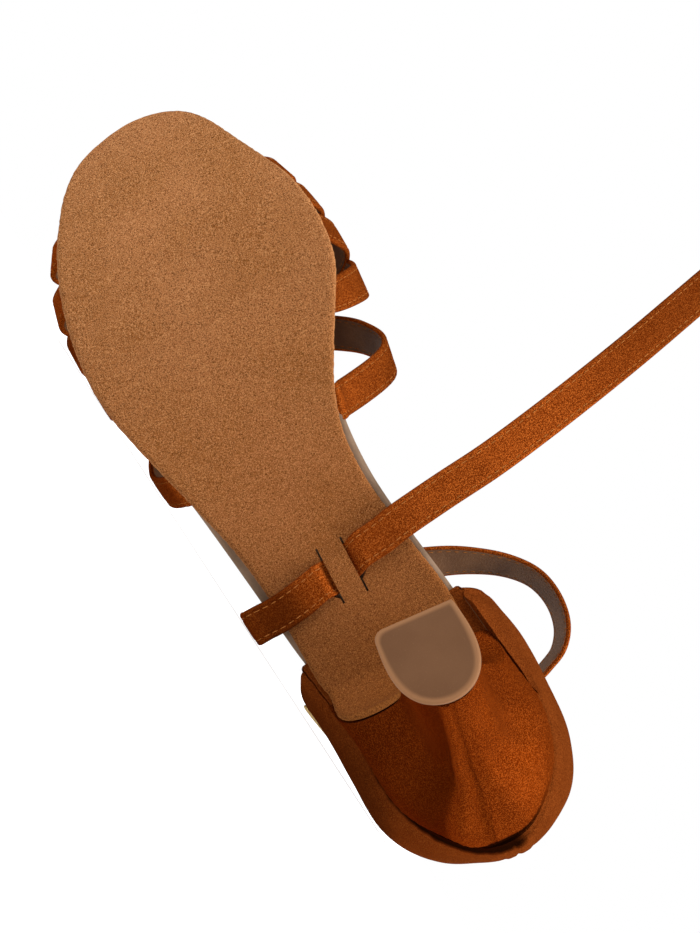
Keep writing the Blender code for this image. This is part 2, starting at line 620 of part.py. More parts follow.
def cylinder(name, origin, axis, radius, length, finish, cutters, parent):
    """Plain cylinder about a point of the buckle's bar."""
    mesh = bpy.data.meshes.new(name)
    work = bmesh.new()
    radius *= MM
    bmesh.ops.create_cone(
        work, cap_ends=True, segments=24, radius1=radius, radius2=radius, depth=length * MM)
    turn = Vector((0, 0, 1)).rotation_difference(Vector(axis)).to_matrix().to_4x4()
    place = Matrix.Translation(Vector(origin) * MM) @ turn
    bmesh.ops.transform(work, matrix=place, verts=work.verts)
    work.to_mesh(mesh)
    work.free()
    return add_object(name, mesh, finish, cutters, parent)


def build_tab(satin, collection, cutters, parent):
    """Tab sewn inside the outer ear, folded round the buckle's bar and slotted for the prong."""
    forward, _, axis = buckle_axes()
    rows = along_rows(np.vstack([TAB, np.array([BUCKLE_BAR])]), 3)
    ribbon = ribbon_grid(rows, np.tile(axis, (len(rows), 1)), STRAP_WIDTH)
    tab = layer("buckle_tab", ribbon, TAB_THICK, 0, satin, collection, parent)
    eye = cylinder("tab_eye", BUCKLE_BAR, axis, TAB_EYE, STRAP_WIDTH - 0.2, satin, cutters, parent)
    join_with(tab, eye, "eye")
    room = BAR / 2 + GAP
    bore = cylinder("tab_bore", BUCKLE_BAR, axis, room, 2 * STRAP_WIDTH, satin, cutters, parent)
    cut_with(tab, bore, "bore")
    reach = BAR / 2 + PRONG + 2.5 * GAP
    for name, step in (("tab_slot", 0.0), ("tab_slot_back", SLOT_BACK)):
        place = np.array(BUCKLE_BAR) - forward * step
        cut_with(tab, cylinder(name, place, axis, reach, PRONG + 4 * GAP, satin, cutters, parent), name)


def build_buckle(metal, collection, parent):
    """Wire frame and prong, made about the bar: both swing on the empty that stands there."""
    bar = bpy.data.objects.new("buckle_bar", None)
    bpy.context.scene.collection.objects.link(bar)
    bar.parent = parent
    bar.location = Vector(BUCKLE_BAR) * MM
    forward, outwards, axis = buckle_axes()
    half = FRAME_WIDTH / 2
    bend = np.radians(np.linspace(0, 90, 5))
    quarter = np.stack([np.sin(bend), np.cos(bend)], axis=1) * FRAME_CORNER
    inside = half - FRAME_CORNER + quarter[:, 1]
    far = np.stack([FRAME_DEPTH - FRAME_CORNER + quarter[:, 0], inside], axis=1)
    near = np.stack([FRAME_CORNER - quarter[:, 0], inside], axis=1)[::-1]
    loop = np.concatenate([near, far, far[::-1] * (1, -1), near[::-1] * (1, -1)])
    loop = loop @ np.stack([forward, axis])
    rod("buckle_frame", loop, outwards, BAR / 2, True, metal, collection, bar)

    ring = BAR / 2 + GAP + PRONG / 2
    turn = np.radians(np.linspace(345, 100, 14))
    hook = np.stack([ring * np.cos(turn), ring * np.sin(turn)], axis=1)
    shaft = np.stack([np.linspace(PRONG_FOOT, FRAME_DEPTH + PRONG_OVER, 8), np.full(8, ring)], axis=1)
    prong = np.concatenate([hook, shaft]) @ np.stack([forward, outwards])
    rod("buckle_prong", prong, axis, PRONG / 2, False, metal, collection, bar)


def lay_down(parent, shoe):
    """Turn the shoe onto its outer side and put it on the floor, middle over the origin."""
    up = Vector((LIE_ALONG, 1.0, LIE_UP)).normalized()
    to_heel = -(Vector((1, 0, 0)) - up * up.x).normalized()
    back = up.cross(to_heel)
    turn = Matrix((to_heel, back, up)).to_4x4()
    parent.matrix_world = turn
    bpy.context.view_layer.update()
    graph = bpy.context.evaluated_depsgraph_get()
    corners = []
    for thing in shoe.objects:
        solid = thing.evaluated_get(graph)
        mesh = solid.to_mesh()
        points = np.empty(len(mesh.vertices) * 3)
        mesh.vertices.foreach_get("co", points)
        solid.to_mesh_clear()
        place = np.array(solid.matrix_world)
        corners.append(points.reshape(-1, 3) @ place[:3, :3].T + place[:3, 3])
    corners = np.concatenate(corners)
    low = corners.min(axis=0)
    high = corners.max(axis=0)
    middle = Vector((-(low[0] + high[0]) / 2, -(low[1] + high[1]) / 2, -low[2]))
    parent.matrix_world = Matrix.Translation(middle) @ turn


def main():
    """Build the shoe."""
    for thing in list(bpy.data.objects):
        bpy.data.objects.remove(thing, do_unlink=True)
    shoe = bpy.data.collections.new("dance_sandal")
    cutters = bpy.data.collections.new("cutters")
    for collection in (shoe, cutters):
        bpy.context.scene.collection.children.link(collection)
    parent = bpy.data.objects.new("standing_shoe", None)
    bpy.context.scene.collection.objects.link(parent)

    suede = paint("suede", (0.38, 0.15, 0.055), 0.95)
    board = paint("insole_board", (0.16, 0.085, 0.05), 0.8)
    satin = paint("satin", (0.25, 0.065, 0.012), 0.42)
    lift = paint("tip_rubber", (0.2, 0.095, 0.045), 0.6)
    gilt = paint("gilt_metal", (0.8, 0.6, 0.3), 0.25, 1.0)

    build_outsole(suede, shoe, cutters, parent)
    insole = build_insole(board, shoe, parent)
    build_heel(satin, shoe, parent)
    build_heel_tip(lift, shoe, parent)
    build_counter(satin, shoe, parent)
    build_vamp_straps(satin, insole, shoe, cutters, parent)
    build_ankle_strap(satin, shoe, parent)
    build_tab(satin, shoe, cutters, parent)
    build_buckle(gilt, shoe, parent)
    lay_down(parent, shoe)


main()
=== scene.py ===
"""A woman's Latin dance sandal, right foot, lying on its outer side.

Suede sole with a keeper, satin straps, a flared satin heel and counter, and a gilt buckle.  Every piece
is worked out in the standing shoe's frame, in millimetres: x from the back of the seat to the toe, y
towards the inner side of the foot, z up from the floor under heel tip and ball.  laid() turns points
into the row frame.
"""
import json
import math

import bpy
import numpy as np
from mathutils import Matrix


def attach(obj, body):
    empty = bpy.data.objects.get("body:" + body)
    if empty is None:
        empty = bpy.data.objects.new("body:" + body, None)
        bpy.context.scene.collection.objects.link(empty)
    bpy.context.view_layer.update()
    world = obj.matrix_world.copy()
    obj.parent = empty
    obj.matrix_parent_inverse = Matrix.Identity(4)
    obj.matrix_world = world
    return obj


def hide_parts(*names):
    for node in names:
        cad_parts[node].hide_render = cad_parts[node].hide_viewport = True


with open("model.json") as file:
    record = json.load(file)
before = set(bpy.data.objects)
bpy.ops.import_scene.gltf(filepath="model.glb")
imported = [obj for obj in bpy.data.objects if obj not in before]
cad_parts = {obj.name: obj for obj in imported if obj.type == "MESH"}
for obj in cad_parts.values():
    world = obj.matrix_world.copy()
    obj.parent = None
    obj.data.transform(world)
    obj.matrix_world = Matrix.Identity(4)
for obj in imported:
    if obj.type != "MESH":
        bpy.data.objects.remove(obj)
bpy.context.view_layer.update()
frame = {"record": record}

# ---------------------------------------------------------------- sizes, millimetres

MM = 0.001
GAP = 0.3                # between pieces that meet
SUEDE = 2.0              # outsole thickness
BOARD = 1.9              # insole board
FOOTBED = 4.0            # board and padded sock together
WALL = 1.8               # heel counter
STRAP_WIDTH = 10.0
STRAP_THICK = 1.5
STITCH_INSET = 1.5       # row of stitches from the edge of a strap
STITCH_PITCH = 2.5
STITCH_LENGTH = 1.8
THREAD = 0.13            # half thickness of the thread
TIP_HEIGHT = 5.6         # top piece under the heel
LIP_X = 55.0             # front lip of the heel under the waist
KEEPER_X = 82.4          # middle of the keeper cut in the waist
KEEPER_Y = -5.9
KEEPER_LENGTH = 14.2
KEEPER_CENTRES = (83.0, 81.2)   # where the strap crosses the inner and the outer slit
BRIDGE = 6.6             # suede left between the two slits
BRIDGE_RISE = 1.5        # the strap lifts the bridge by this much
SLIT = 2.9               # widest opening of a slit, under the strap
SLIT_END = 0.55          # its opening at either end
KEEPER_SQUARE = 9.0      # strap lies square to the slits this far each side of the bridge
KEEPER_EASE = 6.0        # and turns to its own way over this much more
SOLE_STOPS = (0, 22, 26, 42, 46, 72)      # columns of the sole at its edges, its slits and its bridge
ANKLE_THICK = 1.4
ANKLE_TIP = 6.0          # the ankle strap's end is rounded over this length
SOCK_INSET = 0.35        # the sock's border lies this far inside the board's
SOCK_SEAM = 3.0          # its stitches from the edge
TOP_STITCH = 4.0         # the counter's stitches below its top line

# How the shoe lies: slopes of the floor along the foot and up from the sole, against its outer side.
LIE_ALONG = 0.120
LIE_UP = 0.020

# Underside of the footbed along the middle of the shoe.
BED = [  # x, height
    (-4, 65.0), (8, 62.9), (20, 60.6), (32, 56.9), (45, 52.0), (60, 45.0), (75, 37.0), (90, 28.2),
    (105, 19.3), (120, 11.5), (134, 6.0), (147, 3.0), (155, 2.4), (160, 2.3), (166, 2.3), (172, 2.3),
    (178, 2.5), (190, 4.0), (206, 7.0), (224, 11.4),
]

# Outline of the suede outsole from the waist to the toe.
OUTSOLE = [  # x, inner edge, outer edge
    (62.0, 17.0, -25.6), (70, 16.4, -25.9), (80, 14.2, -26.3), (90, 12.4, -27.6), (100, 11.0, -29.8),
    (110, 11.4, -33.0), (120, 14.4, -36.3), (130, 19.7, -39.5), (140, 25.4, -42.1), (150, 30.4, -43.3),
    (160, 32.1, -43.1), (170, 31.9, -42.0), (180, 30.0, -40.0), (190, 26.1, -37.2), (200, 21.9, -33.1),
    (209, 18.2, -28.4), (215.4, 14.2, -23.2), (219.6, 9.2, -17.0), (222.0, 3.6, -10.4),
    (222.8, -0.6, -6.0), (223.0, -2.7, -3.9),
]

# Outline of the footbed: it shows past the suede at the waist and stays inside it at the forefoot.
INSOLE = [  # x, inner edge, outer edge
    (4.4, 1.6, 0.2), (4.6, 3.4, -1.6), (5.6, 7.2, -5.2), (8.4, 11.6, -9.4), (13, 16.0, -13.9),
    (19, 19.9, -17.6), (26, 22.4, -20.3), (34, 23.2, -21.5), (45, 21.4, -22.2), (57, 19.6, -24.4),
    (70, 17.6, -27.1), (85, 14.8, -29.3), (100, 12.9, -31.6), (115, 13.7, -34.2), (128, 17.2, -37.0),
    (140, 23.2, -39.8), (150, 28.2, -41.0), (160, 29.9, -40.8), (170, 29.6, -39.7), (180, 27.7, -37.7),
    (190, 23.8, -34.8), (200, 19.6, -30.8), (209, 15.7, -26.0), (215, 11.6, -20.8), (218.8, 6.8, -15.0),
    (220.6, 1.8, -9.4), (221.2, -1.4, -6.2), (221.4, -3.0, -4.6),
]
SIDES_FROM = 5           # rows of INSOLE from here on are forward of the seat's round back
SEAT_MIDDLE = (40.0, 0.0)
BED_MIDDLE = (90.0, -6.0)

# Heel, from the tip to the seat.
HEEL = [  # share of the height, front, back, middle, half width
    (0.00, 47.8, 24.6, 5.9, 11.7), (0.15, 45.4, 22.2, 5.5, 10.7), (0.32, 42.9, 19.0, 4.8, 10.4),
    (0.52, 41.6, 15.0, 4.0, 11.4), (0.64, 42.2, 11.6, 3.4, 13.8), (0.79, 45.2, 7.6, 2.4, 18.6),
    (0.91, 50.2, 4.4, 1.5, 22.2), (1.00, LIP_X, 2.8, 0.9, 23.8),
]
HEEL_BACK = 0.9995       # share of the depth where the two halves of a section meet
BREAST_SHARES = (0.035, 0.15, 0.3, 0.44, 0.55, 0.64, 0.73, 0.82, 0.90)   # sole's stations up the breast
TIP_SIDE = [  # height, inset: down the top piece's side, round its rim and over its tread
    (5.6, 0.1), (4.4, -0.12), (2.6, -0.45), (1.1, -0.72), (0.6, -0.70), (0.3, -0.52), (0.1, -0.2),
    (0.0, 0.15), (0.0, 0.6), (0.0, 1.1), (0.0, 1.6), (0.0, 2.2), (0.0, 3.0), (0.0, 4.5), (0.0, 6.5),
]
TIP_RAKE = 0.9           # its front edge leans back by this much
TIP_CORNER = 2.4         # rounding of the top piece's front corners
HEEL_TURN = 0.06         # towards the tip the sections turn: outer side forward, inner side back
SEAT_EDGE = 2.0          # the heel's top edge stands out this far round the footbed
SEAT_TUCK = 1.3          # and is drawn in this much where the satin is lasted over it
HEEL_CORNER = 2.5        # its inner front corner is rounded off over this much under the lip
FLAP_INSET = 0.6         # the suede up the breast stays this far inside the heel's sides
FLAP_REACH = 16.0        # and goes no further than this to the inner side

# Folds of the satin over the heel, running from the tip to the seat.
HALVES = (0.0, 0.5, 1.0)
HEEL_FOLDS = [  # place at tip, half height and seat, half width at tip and seat, height
    (0.455, 0.392, 0.418, 0.050, 0.048, 1.90), (0.448, 0.378, 0.398, 0.016, 0.026, 0.90),
    (0.400, 0.318, 0.318, 0.030, 0.036, -1.10), (0.480, 0.428, 0.476, 0.012, 0.022, -0.90),
    (0.560, 0.500, 0.560, 0.030, 0.050, 0.50), (0.620, 0.600, 0.655, 0.024, 0.036, -0.55),
    (0.690, 0.690, 0.745, 0.030, 0.045, 0.35), (0.330, 0.250, 0.225, 0.030, 0.040, 0.35),
    (0.270, 0.200, 0.150, 0.024, 0.030, -0.30), (0.800, 0.810, 0.850, 0.034, 0.030, 0.22),
]
RIDGE = (0.430, 0.350, 0.362)    # where painted shade begins, darkening the heel's outer side beyond it
VALLEY = HEEL_FOLDS[3][:3]       # the deep fold beside it, also darkened with painted shade

# Heel counter: how high it rises, and how far it stands out at mid height and at its top line.
COUNTER = [  # x, rise, bulge outer side, bulge inner side, top outer side, top inner side
    (4.2, 35, -2.8, -2.6, -10.8, -10.8), (9, 35, -0.9, -0.8, -7.8, -7.8), (17, 36, 2.8, 1.4, -1.8, -2.8),
    (30, 39.5, 6.8, 2.8, 3.0, 1.0), (36, 41.5, 7.1, 3.8, 3.6, 2.4), (41, 42.5, 7.0, 4.8, 3.8, 3.4),
    (44.5, 41.0, 6.8, 5.4, 3.8, 4.2), (47.5, 37.0, 6.4, 5.8, 3.8, 5.0), (50.5, 33.0, 5.8, 6.0, 4.0, 5.6),
    (55, 30.5, 5.0, 6.0, 4.2, 6.4), (59, 27.5, 4.4, 5.4, 4.4, 6.6), (63, 24, 3.6, 4.4, 4.4, 6.2),
    (67, 18, 2.4, 3.2, 4.0, 5.4),
]
COUNTER_FRONT = 67.0
COUNTER_FOOT = 0.55      # its lower edge lies this far over the underside of the footbed
COUNTER_LAP = 2.6        # at the inner front its lower edge laps over the heel by this much
COUNTER_OVER = 2.5       # and stands out this far to clear the heel's top edge
COUNTER_CORNER = 5.0     # its front corners are rounded over this length
FLANGE = 6.0             # lasting edge turned in between footbed and heel

# The foot that the straps are shaped over.
FOOT = [  # x, outer side, inner side, height over the footbed
    (100, 37.0, 24.5, 69), (120, 39.4, 28.4, 58), (135, 41.2, 32.0, 50), (150, 43.0, 34.0, 43),
    (165, 44.8, 34.4, 36), (180, 44.8, 32.4, 29.5), (195, 41.0, 28.0, 23.5), (212, 32.0, 19.5, 17),
]

# Knots of a strap's course over one half of the form: tucked end, under the edge, round it, above it,
# widest line, shoulder, instep and middle.
GIRTH = np.array([0.0, 7.4, 9.9, 12.6, 22.0, 34.0, 47.0, 66.0])
TUCK = 8.8               # a strap's ends reach this far in under the footbed's edge
TUCK_RISE = 0.95         # and lie in its thickness at this height
TURN_EASE = 4.5          # a strap turns to its slant over about this much of the girth

STRAPS = [  # name, x at the outer side, x at the inner side, bend, lift
    ("back_outer", 118.0, 178.5, 2.4, 0.75), ("back_inner", 183.5, 119.5, 2.4, 0.0),
    ("ball", 169.0, 164.5, 1.0, 1.15), ("front_outer", 147.5, 191.5, 2.0, 1.55),
    ("front_inner", 199.5, 144.0, 2.0, 0.38),
]

# Ankle strap from the inner ear of the counter, over the footbed, round the waist, through the keeper
# and out to its free end, with the way that its satin face looks.
ANKLE_OVER = [  # x, y, z, face x, face y, face z
    (30.0, 21.4, 91.0, 0.1, 1, 0.1), (38.0, 22.2, 91.0, 0.02, 1, 0.15), (45.0, 22.6, 91.0, -0.1, 1, 0.35),
    (50.0, 25.4, 91.0, -0.7, 0.75, 0.60), (52.4, 30.4, 91.0, -0.92, 0.4, 0.70),
    (55.4, 36.4, 90.6, -0.75, 0.68, 0.70), (61.0, 40.4, 89.8, -0.35, 0.95, 0.62),
    (68.6, 41.6, 88.4, 0.05, 1, 0.50), (76.0, 39.8, 86.6, 0.5, 0.86, 0.42),
    (81.8, 34.8, 84.0, 0.8, 0.55, 0.36), (86.2, 27.6, 80.6, 0.9, 0.25, 0.40),
    (89.6, 18.0, 76.0, 0.8, 0.05, 0.55), (91.8, 4.0, 70.0, 0.55, 0.0, 0.82),
    (92.2, -11.0, 64.8, 0.3, -0.1, 0.93), (90.6, -24.0, 59.0, 0.1, -0.5, 0.85),
    (87.0, -33.0, 51.4, -0.1, -0.93, 0.36), (83.2, -35.3, 42.5, -0.12, -1, -0.01),
    (80.4, -34.8, 35.0, -0.12, -1, -0.02), (78.9, -34.5, 31.9, -0.2, -0.93, -0.25),
    (78.2, -33.5, 30.2, -0.38, -0.5, -0.78), (78.1, -31.0, 29.9, -0.47, -0.05, -0.88),
]
ANKLE_UNDER = [  # x, y, depth of its middle below the footbed
    (78.6, -26.0, 3.45), (79.5, -19.0, 3.3), (80.4, -14.4, 3.25), (80.8, -12.4, 3.2), (81.5, -9.1, 1.5),
    (82.3, -5.8, 1.25), (82.8, -2.6, 1.5), (83.2, 0.7, 3.2), (83.5, 2.7, 3.25), (84.0, 8.0, 3.3),
    (84.9, 14.0, 3.6),
]
ANKLE_FREE = [  # x, y, z, face x, face y, face z
    (87.6, 28.0, 28.9, -0.48, 0.03, -0.88), (90.6, 43.0, 31.8, -0.46, 0.0, -0.89),
    (95.6, 60.0, 36.4, -0.45, -0.02, -0.89), (101.6, 77.0, 42.2, -0.44, -0.03, -0.9),
    (108.2, 93.5, 48.8, -0.43, -0.04, -0.9), (114.8, 108.5, 55.4, -0.43, -0.05, -0.9),
    (120.6, 121.5, 61.2, -0.43, -0.06, -0.9), (125.6, 133.0, 66.4, -0.43, -0.06, -0.9),
]

# Buckle at the outer ear.
TAB = [(44.0, -24.6, 92.0), (50.0, -24.8, 92.0), (56.0, -26.2, 92.0), (60.0, -28.4, 92.0)]
TAB_THICK = 2.0          # folded
SLOT_BACK = 4.0          # the prong's slot runs this far back from the bar
SLOT_SIDE = 0.6          # and leaves this much room either side of the prong
BUCKLE_BAR = (65.0, -30.6, 92.0)
BUCKLE_FORWARD = (0.97, -0.22, 0.0)
BUCKLE_OUT = (-0.22, -0.97, 0.0)
BAR = 1.9                # wire of the frame
PRONG = 1.4              # and of the prong
FRAME_WIDTH = 13.2       # the frame, middle to middle of its wire
FRAME_DEPTH = 10.0
FRAME_CORNER = 1.6
PRONG_PAST = 1.6         # the prong ends this far past the middle of the frame's far side

# Camera in the shoe's frame: what it looks at, how far off, and its three turns in degrees.
LOOK_AT = (104.8, 8.6, 25.0)
DISTANCE = 800.0
CAMERA_SWING = 25.0
CAMERA_TILT = 1.0
CAMERA_ROLL = 26.9
LENS = 153.4

LIGHTS = [  # name, place and aim in row metres, size, power
    ("key", (-0.55, -0.98, 0.78), (0.0, 0.0, 0.05), 0.45, 12.5),          # from the sole's side
    ("behind_heel", (0.88, 0.12, 0.72), (0.07, 0.0, 0.05), 0.42, 16.0),
    ("strap_side", (0.30, -0.60, 1.05), (0.0, 0.0, 0.05), 0.5, 3.5),      # weak, over the free strap
]


# ---------------------------------------------------------------- curves and frames

def unit(vectors):
    """Vectors at length one."""
    vectors = np.asarray(vectors, float)
    return vectors / np.linalg.norm(vectors, axis=-1, keepdims=True)


def lying_axes():
    """Row frame's axes seen from the shoe: towards the heel, up through the sole, off the floor."""
    up = unit((LIE_ALONG, 1.0, LIE_UP))
    to_heel = -unit(np.array([1.0, 0, 0]) - up * up[0])
    return np.stack([to_heel, np.cross(up, to_heel), up])


TURN = lying_axes()
HEEL_REST = np.array([36.0, 5.9, 0.0])
REST_PLACE = [m["pos_m"] for m in frame["record"]["mounts"] if m["name"] == "heel_rest"][0]
SHIFT = np.array(REST_PLACE) - TURN @ HEEL_REST * MM


def laid(points):
    """Shoe millimetres to row metres: turned by the lie, then moved so that the heel rest meets its mount."""
    return np.asarray(points, float) @ TURN.T * MM + SHIFT


def smooth(knots, values, at):
    """Cubic through the values at the knots; the slope at a knot is the mean of the spans beside it."""
    knots = np.asarray(knots, float)
    values = np.asarray(values, float)
    at = np.asarray(at, float)
    wide = values.reshape(len(knots), -1)
    spans = np.diff(wide, axis=0) / np.diff(knots)[:, None]
    slopes = np.concatenate([spans[:1], (spans[1:] + spans[:-1]) / 2, spans[-1:]])
    k = np.clip(np.searchsorted(knots, at, side="right") - 1, 0, len(knots) - 2)
    step = (knots[k + 1] - knots[k])[:, None]
    t = (at - knots[k])[:, None] / step
    curve = ((2 * t**3 - 3 * t**2 + 1) * wide[k] + (t**3 - 2 * t**2 + t) * step * slopes[k]
             + (3 * t**2 - 2 * t**3) * wide[k + 1] + (t**3 - t**2) * step * slopes[k + 1])
    return curve.reshape((len(at),) + values.shape[1:])


def along_rows(rows, per_row):
    """Smooth rows between the rows of a table, so many to each of its steps."""
    rows = np.asarray(rows, float)
    steps = np.linspace(0, len(rows) - 1, (len(rows) - 1) * per_row + 1)
    return smooth(np.arange(len(rows)), rows, steps)


def columns_at(table, at):
    """A table's other columns, smoothed at places along its first one."""
    table = np.array(table)
    return smooth(table[:, 0], table[:, 1:], np.ravel(at)).T


def bed(x):
    """Height of the footbed's underside at x."""
    return columns_at(BED, x).reshape(np.shape(x))


def bed_slope(x):
    """Rise of the bed for one millimetre towards the toe."""
    return bed(np.asarray(x) + 0.5) - bed(np.asarray(x) - 0.5)


def below_bed(x, depth):
    """Height of a layer that lies a square distance under the bed."""
    return bed(x) - depth * np.hypot(1, bed_slope(x))


def off_bed(x):
    """Directions square to the bed, looking up."""
    slope = bed_slope(x)
    return unit(np.stack([-slope, 0 * slope, 1 + 0 * slope], axis=1))


def direction_along(points):
    """Direction of a path at each of its points."""
    return unit(np.gradient(points, axis=0))


def length_along(points):
    """Length walked along a path up to each point."""
    steps = np.linalg.norm(np.diff(points, axis=0), axis=1)
    return np.concatenate([[0.0], np.cumsum(steps)])


def beside(way):
    """Directions to the right of a plan line's own."""
    return np.stack([way[:, 1], -way[:, 0]], axis=1)


def away_from(middle, plan, way):
    """Directions square to a plan line, away from a point inside it."""
    out = beside(way)
    return out * np.sign(np.sum(out * (plan - middle), axis=1, keepdims=True))


def eased(distance, reach):
    """Share of the full thickness at a distance from an edge: a quarter circle over the reach."""
    near = np.clip(np.asarray(distance) / reach, 0, 1)
    return np.sqrt(1 - (1 - near) ** 2)


def step_up(value, low, high):
    """Zero below low, one above high and a smooth step between."""
    t = np.clip((np.asarray(value, float) - low) / (high - low), 0, 1)
    return t * t * (3 - 2 * t)


def ramp(value, ease):
    """Zero below nought and the value itself above, rounded at the corner."""
    return (value + np.hypot(value, ease)) / 2


def hump(value, middle, half):
    """Bell of height one round the middle."""
    return np.exp(-(((np.asarray(value) - middle) / half) ** 2))


def waver(along, spans, seed):
    """Uneven line between about -1 and 1: sines of the given spans with fixed odd starts."""
    starts = np.random.default_rng(seed).uniform(0, 2 * np.pi, len(spans))
    waves = [np.sin(2 * np.pi * np.asarray(along) / span + start) for span, start in zip(spans, starts)]
    return sum(waves) / math.sqrt(len(spans))


# ---------------------------------------------------------------- meshes

def grid_quads(rows, columns):
    """Faces over a grid of points; they look along the row direction crossed with the column direction."""
    first = (np.arange(rows - 1)[:, None] * columns + np.arange(columns - 1)).ravel()
    return np.stack([first, first + columns, first + columns + 1, first + 1], axis=1)


def grid_normals(grid):
    """Directions square to a grid, along the row direction crossed with the column direction."""
    return unit(np.cross(np.gradient(grid, axis=0), np.gradient(grid, axis=1)))


def place_in_scene(name, data, matrix=None):
    """An object of its own in the scene."""
    thing = bpy.data.objects.new(name, data)
    bpy.context.scene.collection.objects.link(thing)
    if matrix is not None:
        thing.matrix_world = matrix
    return thing


def make_piece(name, points, quads, finishes, kinds=None, cloth=None, marks=None, sharp=50.0):
    """A mesh in the row frame.

    Points are in shoe millimetres.  Kinds pick a finish for each face, cloth gives a flat place in
    millimetres for each point, and marks are named numbers at each point.
    """
    used, packed = np.unique(quads, return_inverse=True)
    quads = packed.reshape(quads.shape)
    mesh = bpy.data.meshes.new(name)
    mesh.from_pydata(laid(points[used]).tolist(), [], quads.tolist())
    for finish in finishes:
        mesh.materials.append(finish)
    if kinds is not None:
        mesh.polygons.foreach_set("material_index", kinds.astype(np.int32))
    mesh.polygons.foreach_set("use_smooth", np.ones(len(quads), dtype=bool))
    if cloth is not None:
        flat = mesh.uv_layers.new(name="cloth")
        flat.data.foreach_set("uv", (cloth[used] * 0.01)[quads.ravel()].astype(np.float32).ravel())
    for mark, values in (marks or {}).items():
        mesh.attributes.new(mark, "FLOAT", "POINT").data.foreach_set("value", values[used].astype(np.float32))
    mesh.update()
    mesh.set_sharp_from_angle(angle=math.radians(sharp))
    return place_in_scene(name, mesh)


def plate(upper, lower, keep=None):
    """Closed sheet between two grids: faces over both, and walls along every free edge.

    Cells that aren't kept are openings.  Kinds are 0 over the upper grid, 1 over the lower, 2 on walls.
    """
    rows, columns = upper.shape[:2]
    count = rows * columns
    faces = grid_quads(rows, columns)
    if keep is not None:
        faces = faces[keep.ravel()]
    sides = np.concatenate([faces[:, [k, (k + 1) % 4]] for k in range(4)])
    forward = sides[:, 0] * count + sides[:, 1]
    backward = sides[:, 1] * count + sides[:, 0]
    rim = sides[~np.isin(forward, backward)]
    walls = np.stack([rim[:, 1], rim[:, 0], rim[:, 0] + count, rim[:, 1] + count], axis=1)
    quads = np.concatenate([faces, faces[:, ::-1] + count, walls])
    kinds = np.repeat([0, 1, 2], [len(faces), len(faces), len(walls)])
    return np.concatenate([upper.reshape(-1, 3), lower.reshape(-1, 3)]), quads, kinds


def twice(values):
    """The same numbers for the upper and the lower grid of a plate."""
    flat = values.reshape(-1, *values.shape[2:])
    return np.concatenate([flat, flat])


def facing_out(points, quads):
    """Faces of a closed skin, turned round if they look inwards."""
    corners = points[quads]
    spans = np.cross(corners[:, 2] - corners[:, 0], corners[:, 3] - corners[:, 1])
    return quads if np.sum(corners.mean(axis=1) * spans) > 0 else quads[:, ::-1]


def loft(rings):
    """Closed skin over rings of equal counts, each end closed by rungs across its ring."""
    count = rings.shape[1]
    rows = len(rings)
    row, k = np.meshgrid(np.arange(rows - 1), np.arange(count), indexing="ij")
    near = (row * count + k).ravel()
    after = (row * count + (k + 1) % count).ravel()
    sides = np.stack([near, after, after + count, near + count], axis=1)
    rung = np.arange(count // 2 - 1)
    cap = np.stack([rung, count - 1 - rung, count - 2 - rung, rung + 1], axis=1)
    quads = np.concatenate([sides, cap, cap[:, ::-1] + (rows - 1) * count])
    points = rings.reshape(-1, 3)
    return points, facing_out(points, quads)


def ride_on(piece, node, body="shoe"):
    """Tie a piece to its body, and hide the node that it stands for."""
    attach(piece, body)
    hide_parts(node)
    return piece


def sheet(name, upper, lower, finishes, node, *, flip=False, keep=None, cloth=None, marks=None, hem=0,
          sharp=60.0):
    """A plate as a finished piece.

    Its finishes are the upper grid's, the lower grid's and the walls', or one for all.  flip turns round
    grids whose own faces would look inwards; hem is how many columns of the lower grid wear the walls'
    finish at either edge.
    """
    def faced(values):
        """Values over the grid, turned round with it."""
        return values[:, ::-1] if flip and values is not None else values

    points, quads, kinds = plate(faced(upper), faced(lower), faced(keep))
    if hem:
        cell = np.tile(np.arange(upper.shape[1] - 1), len(upper) - 1)
        hemmed = np.minimum(cell, cell[::-1]) < hem
        kinds[len(cell):2 * len(cell)][hemmed] = 2
    piece = make_piece(name, points, quads, finishes, kinds if len(finishes) > 1 else None,
                       None if cloth is None else twice(faced(cloth)),
                       {mark: twice(faced(values)) for mark, values in (marks or {}).items()}, sharp)
    return ride_on(piece, node)


# ---------------------------------------------------------------- finishes

class Number:
    """A socket that carries a number; sums with it add Math nodes."""

    def __init__(self, finish, socket):
        self.finish = finish
        self.socket = socket

    def worked(self, operation, first, second):
        return self.finish.number("ShaderNodeMath", {"operation": operation}, {0: first, 1: second}, "Value")

    def __add__(self, other):
        return self.worked("ADD", self, other)

    def __radd__(self, other):
        return self.worked("ADD", other, self)

    def __sub__(self, other):
        return self.worked("SUBTRACT", self, other)

    def __rsub__(self, other):
        return self.worked("SUBTRACT", other, self)

    def __mul__(self, other):
        return self.worked("MULTIPLY", self, other)

    def __rmul__(self, other):
        return self.worked("MULTIPLY", other, self)

    def between(self, low, high):
        """Zero at low, one at high, smooth between."""
        return self.finish.number("ShaderNodeMapRange", {"interpolation_type": "SMOOTHSTEP"},
                                  {"Value": self, "From Min": low, "From Max": high}, "Result")


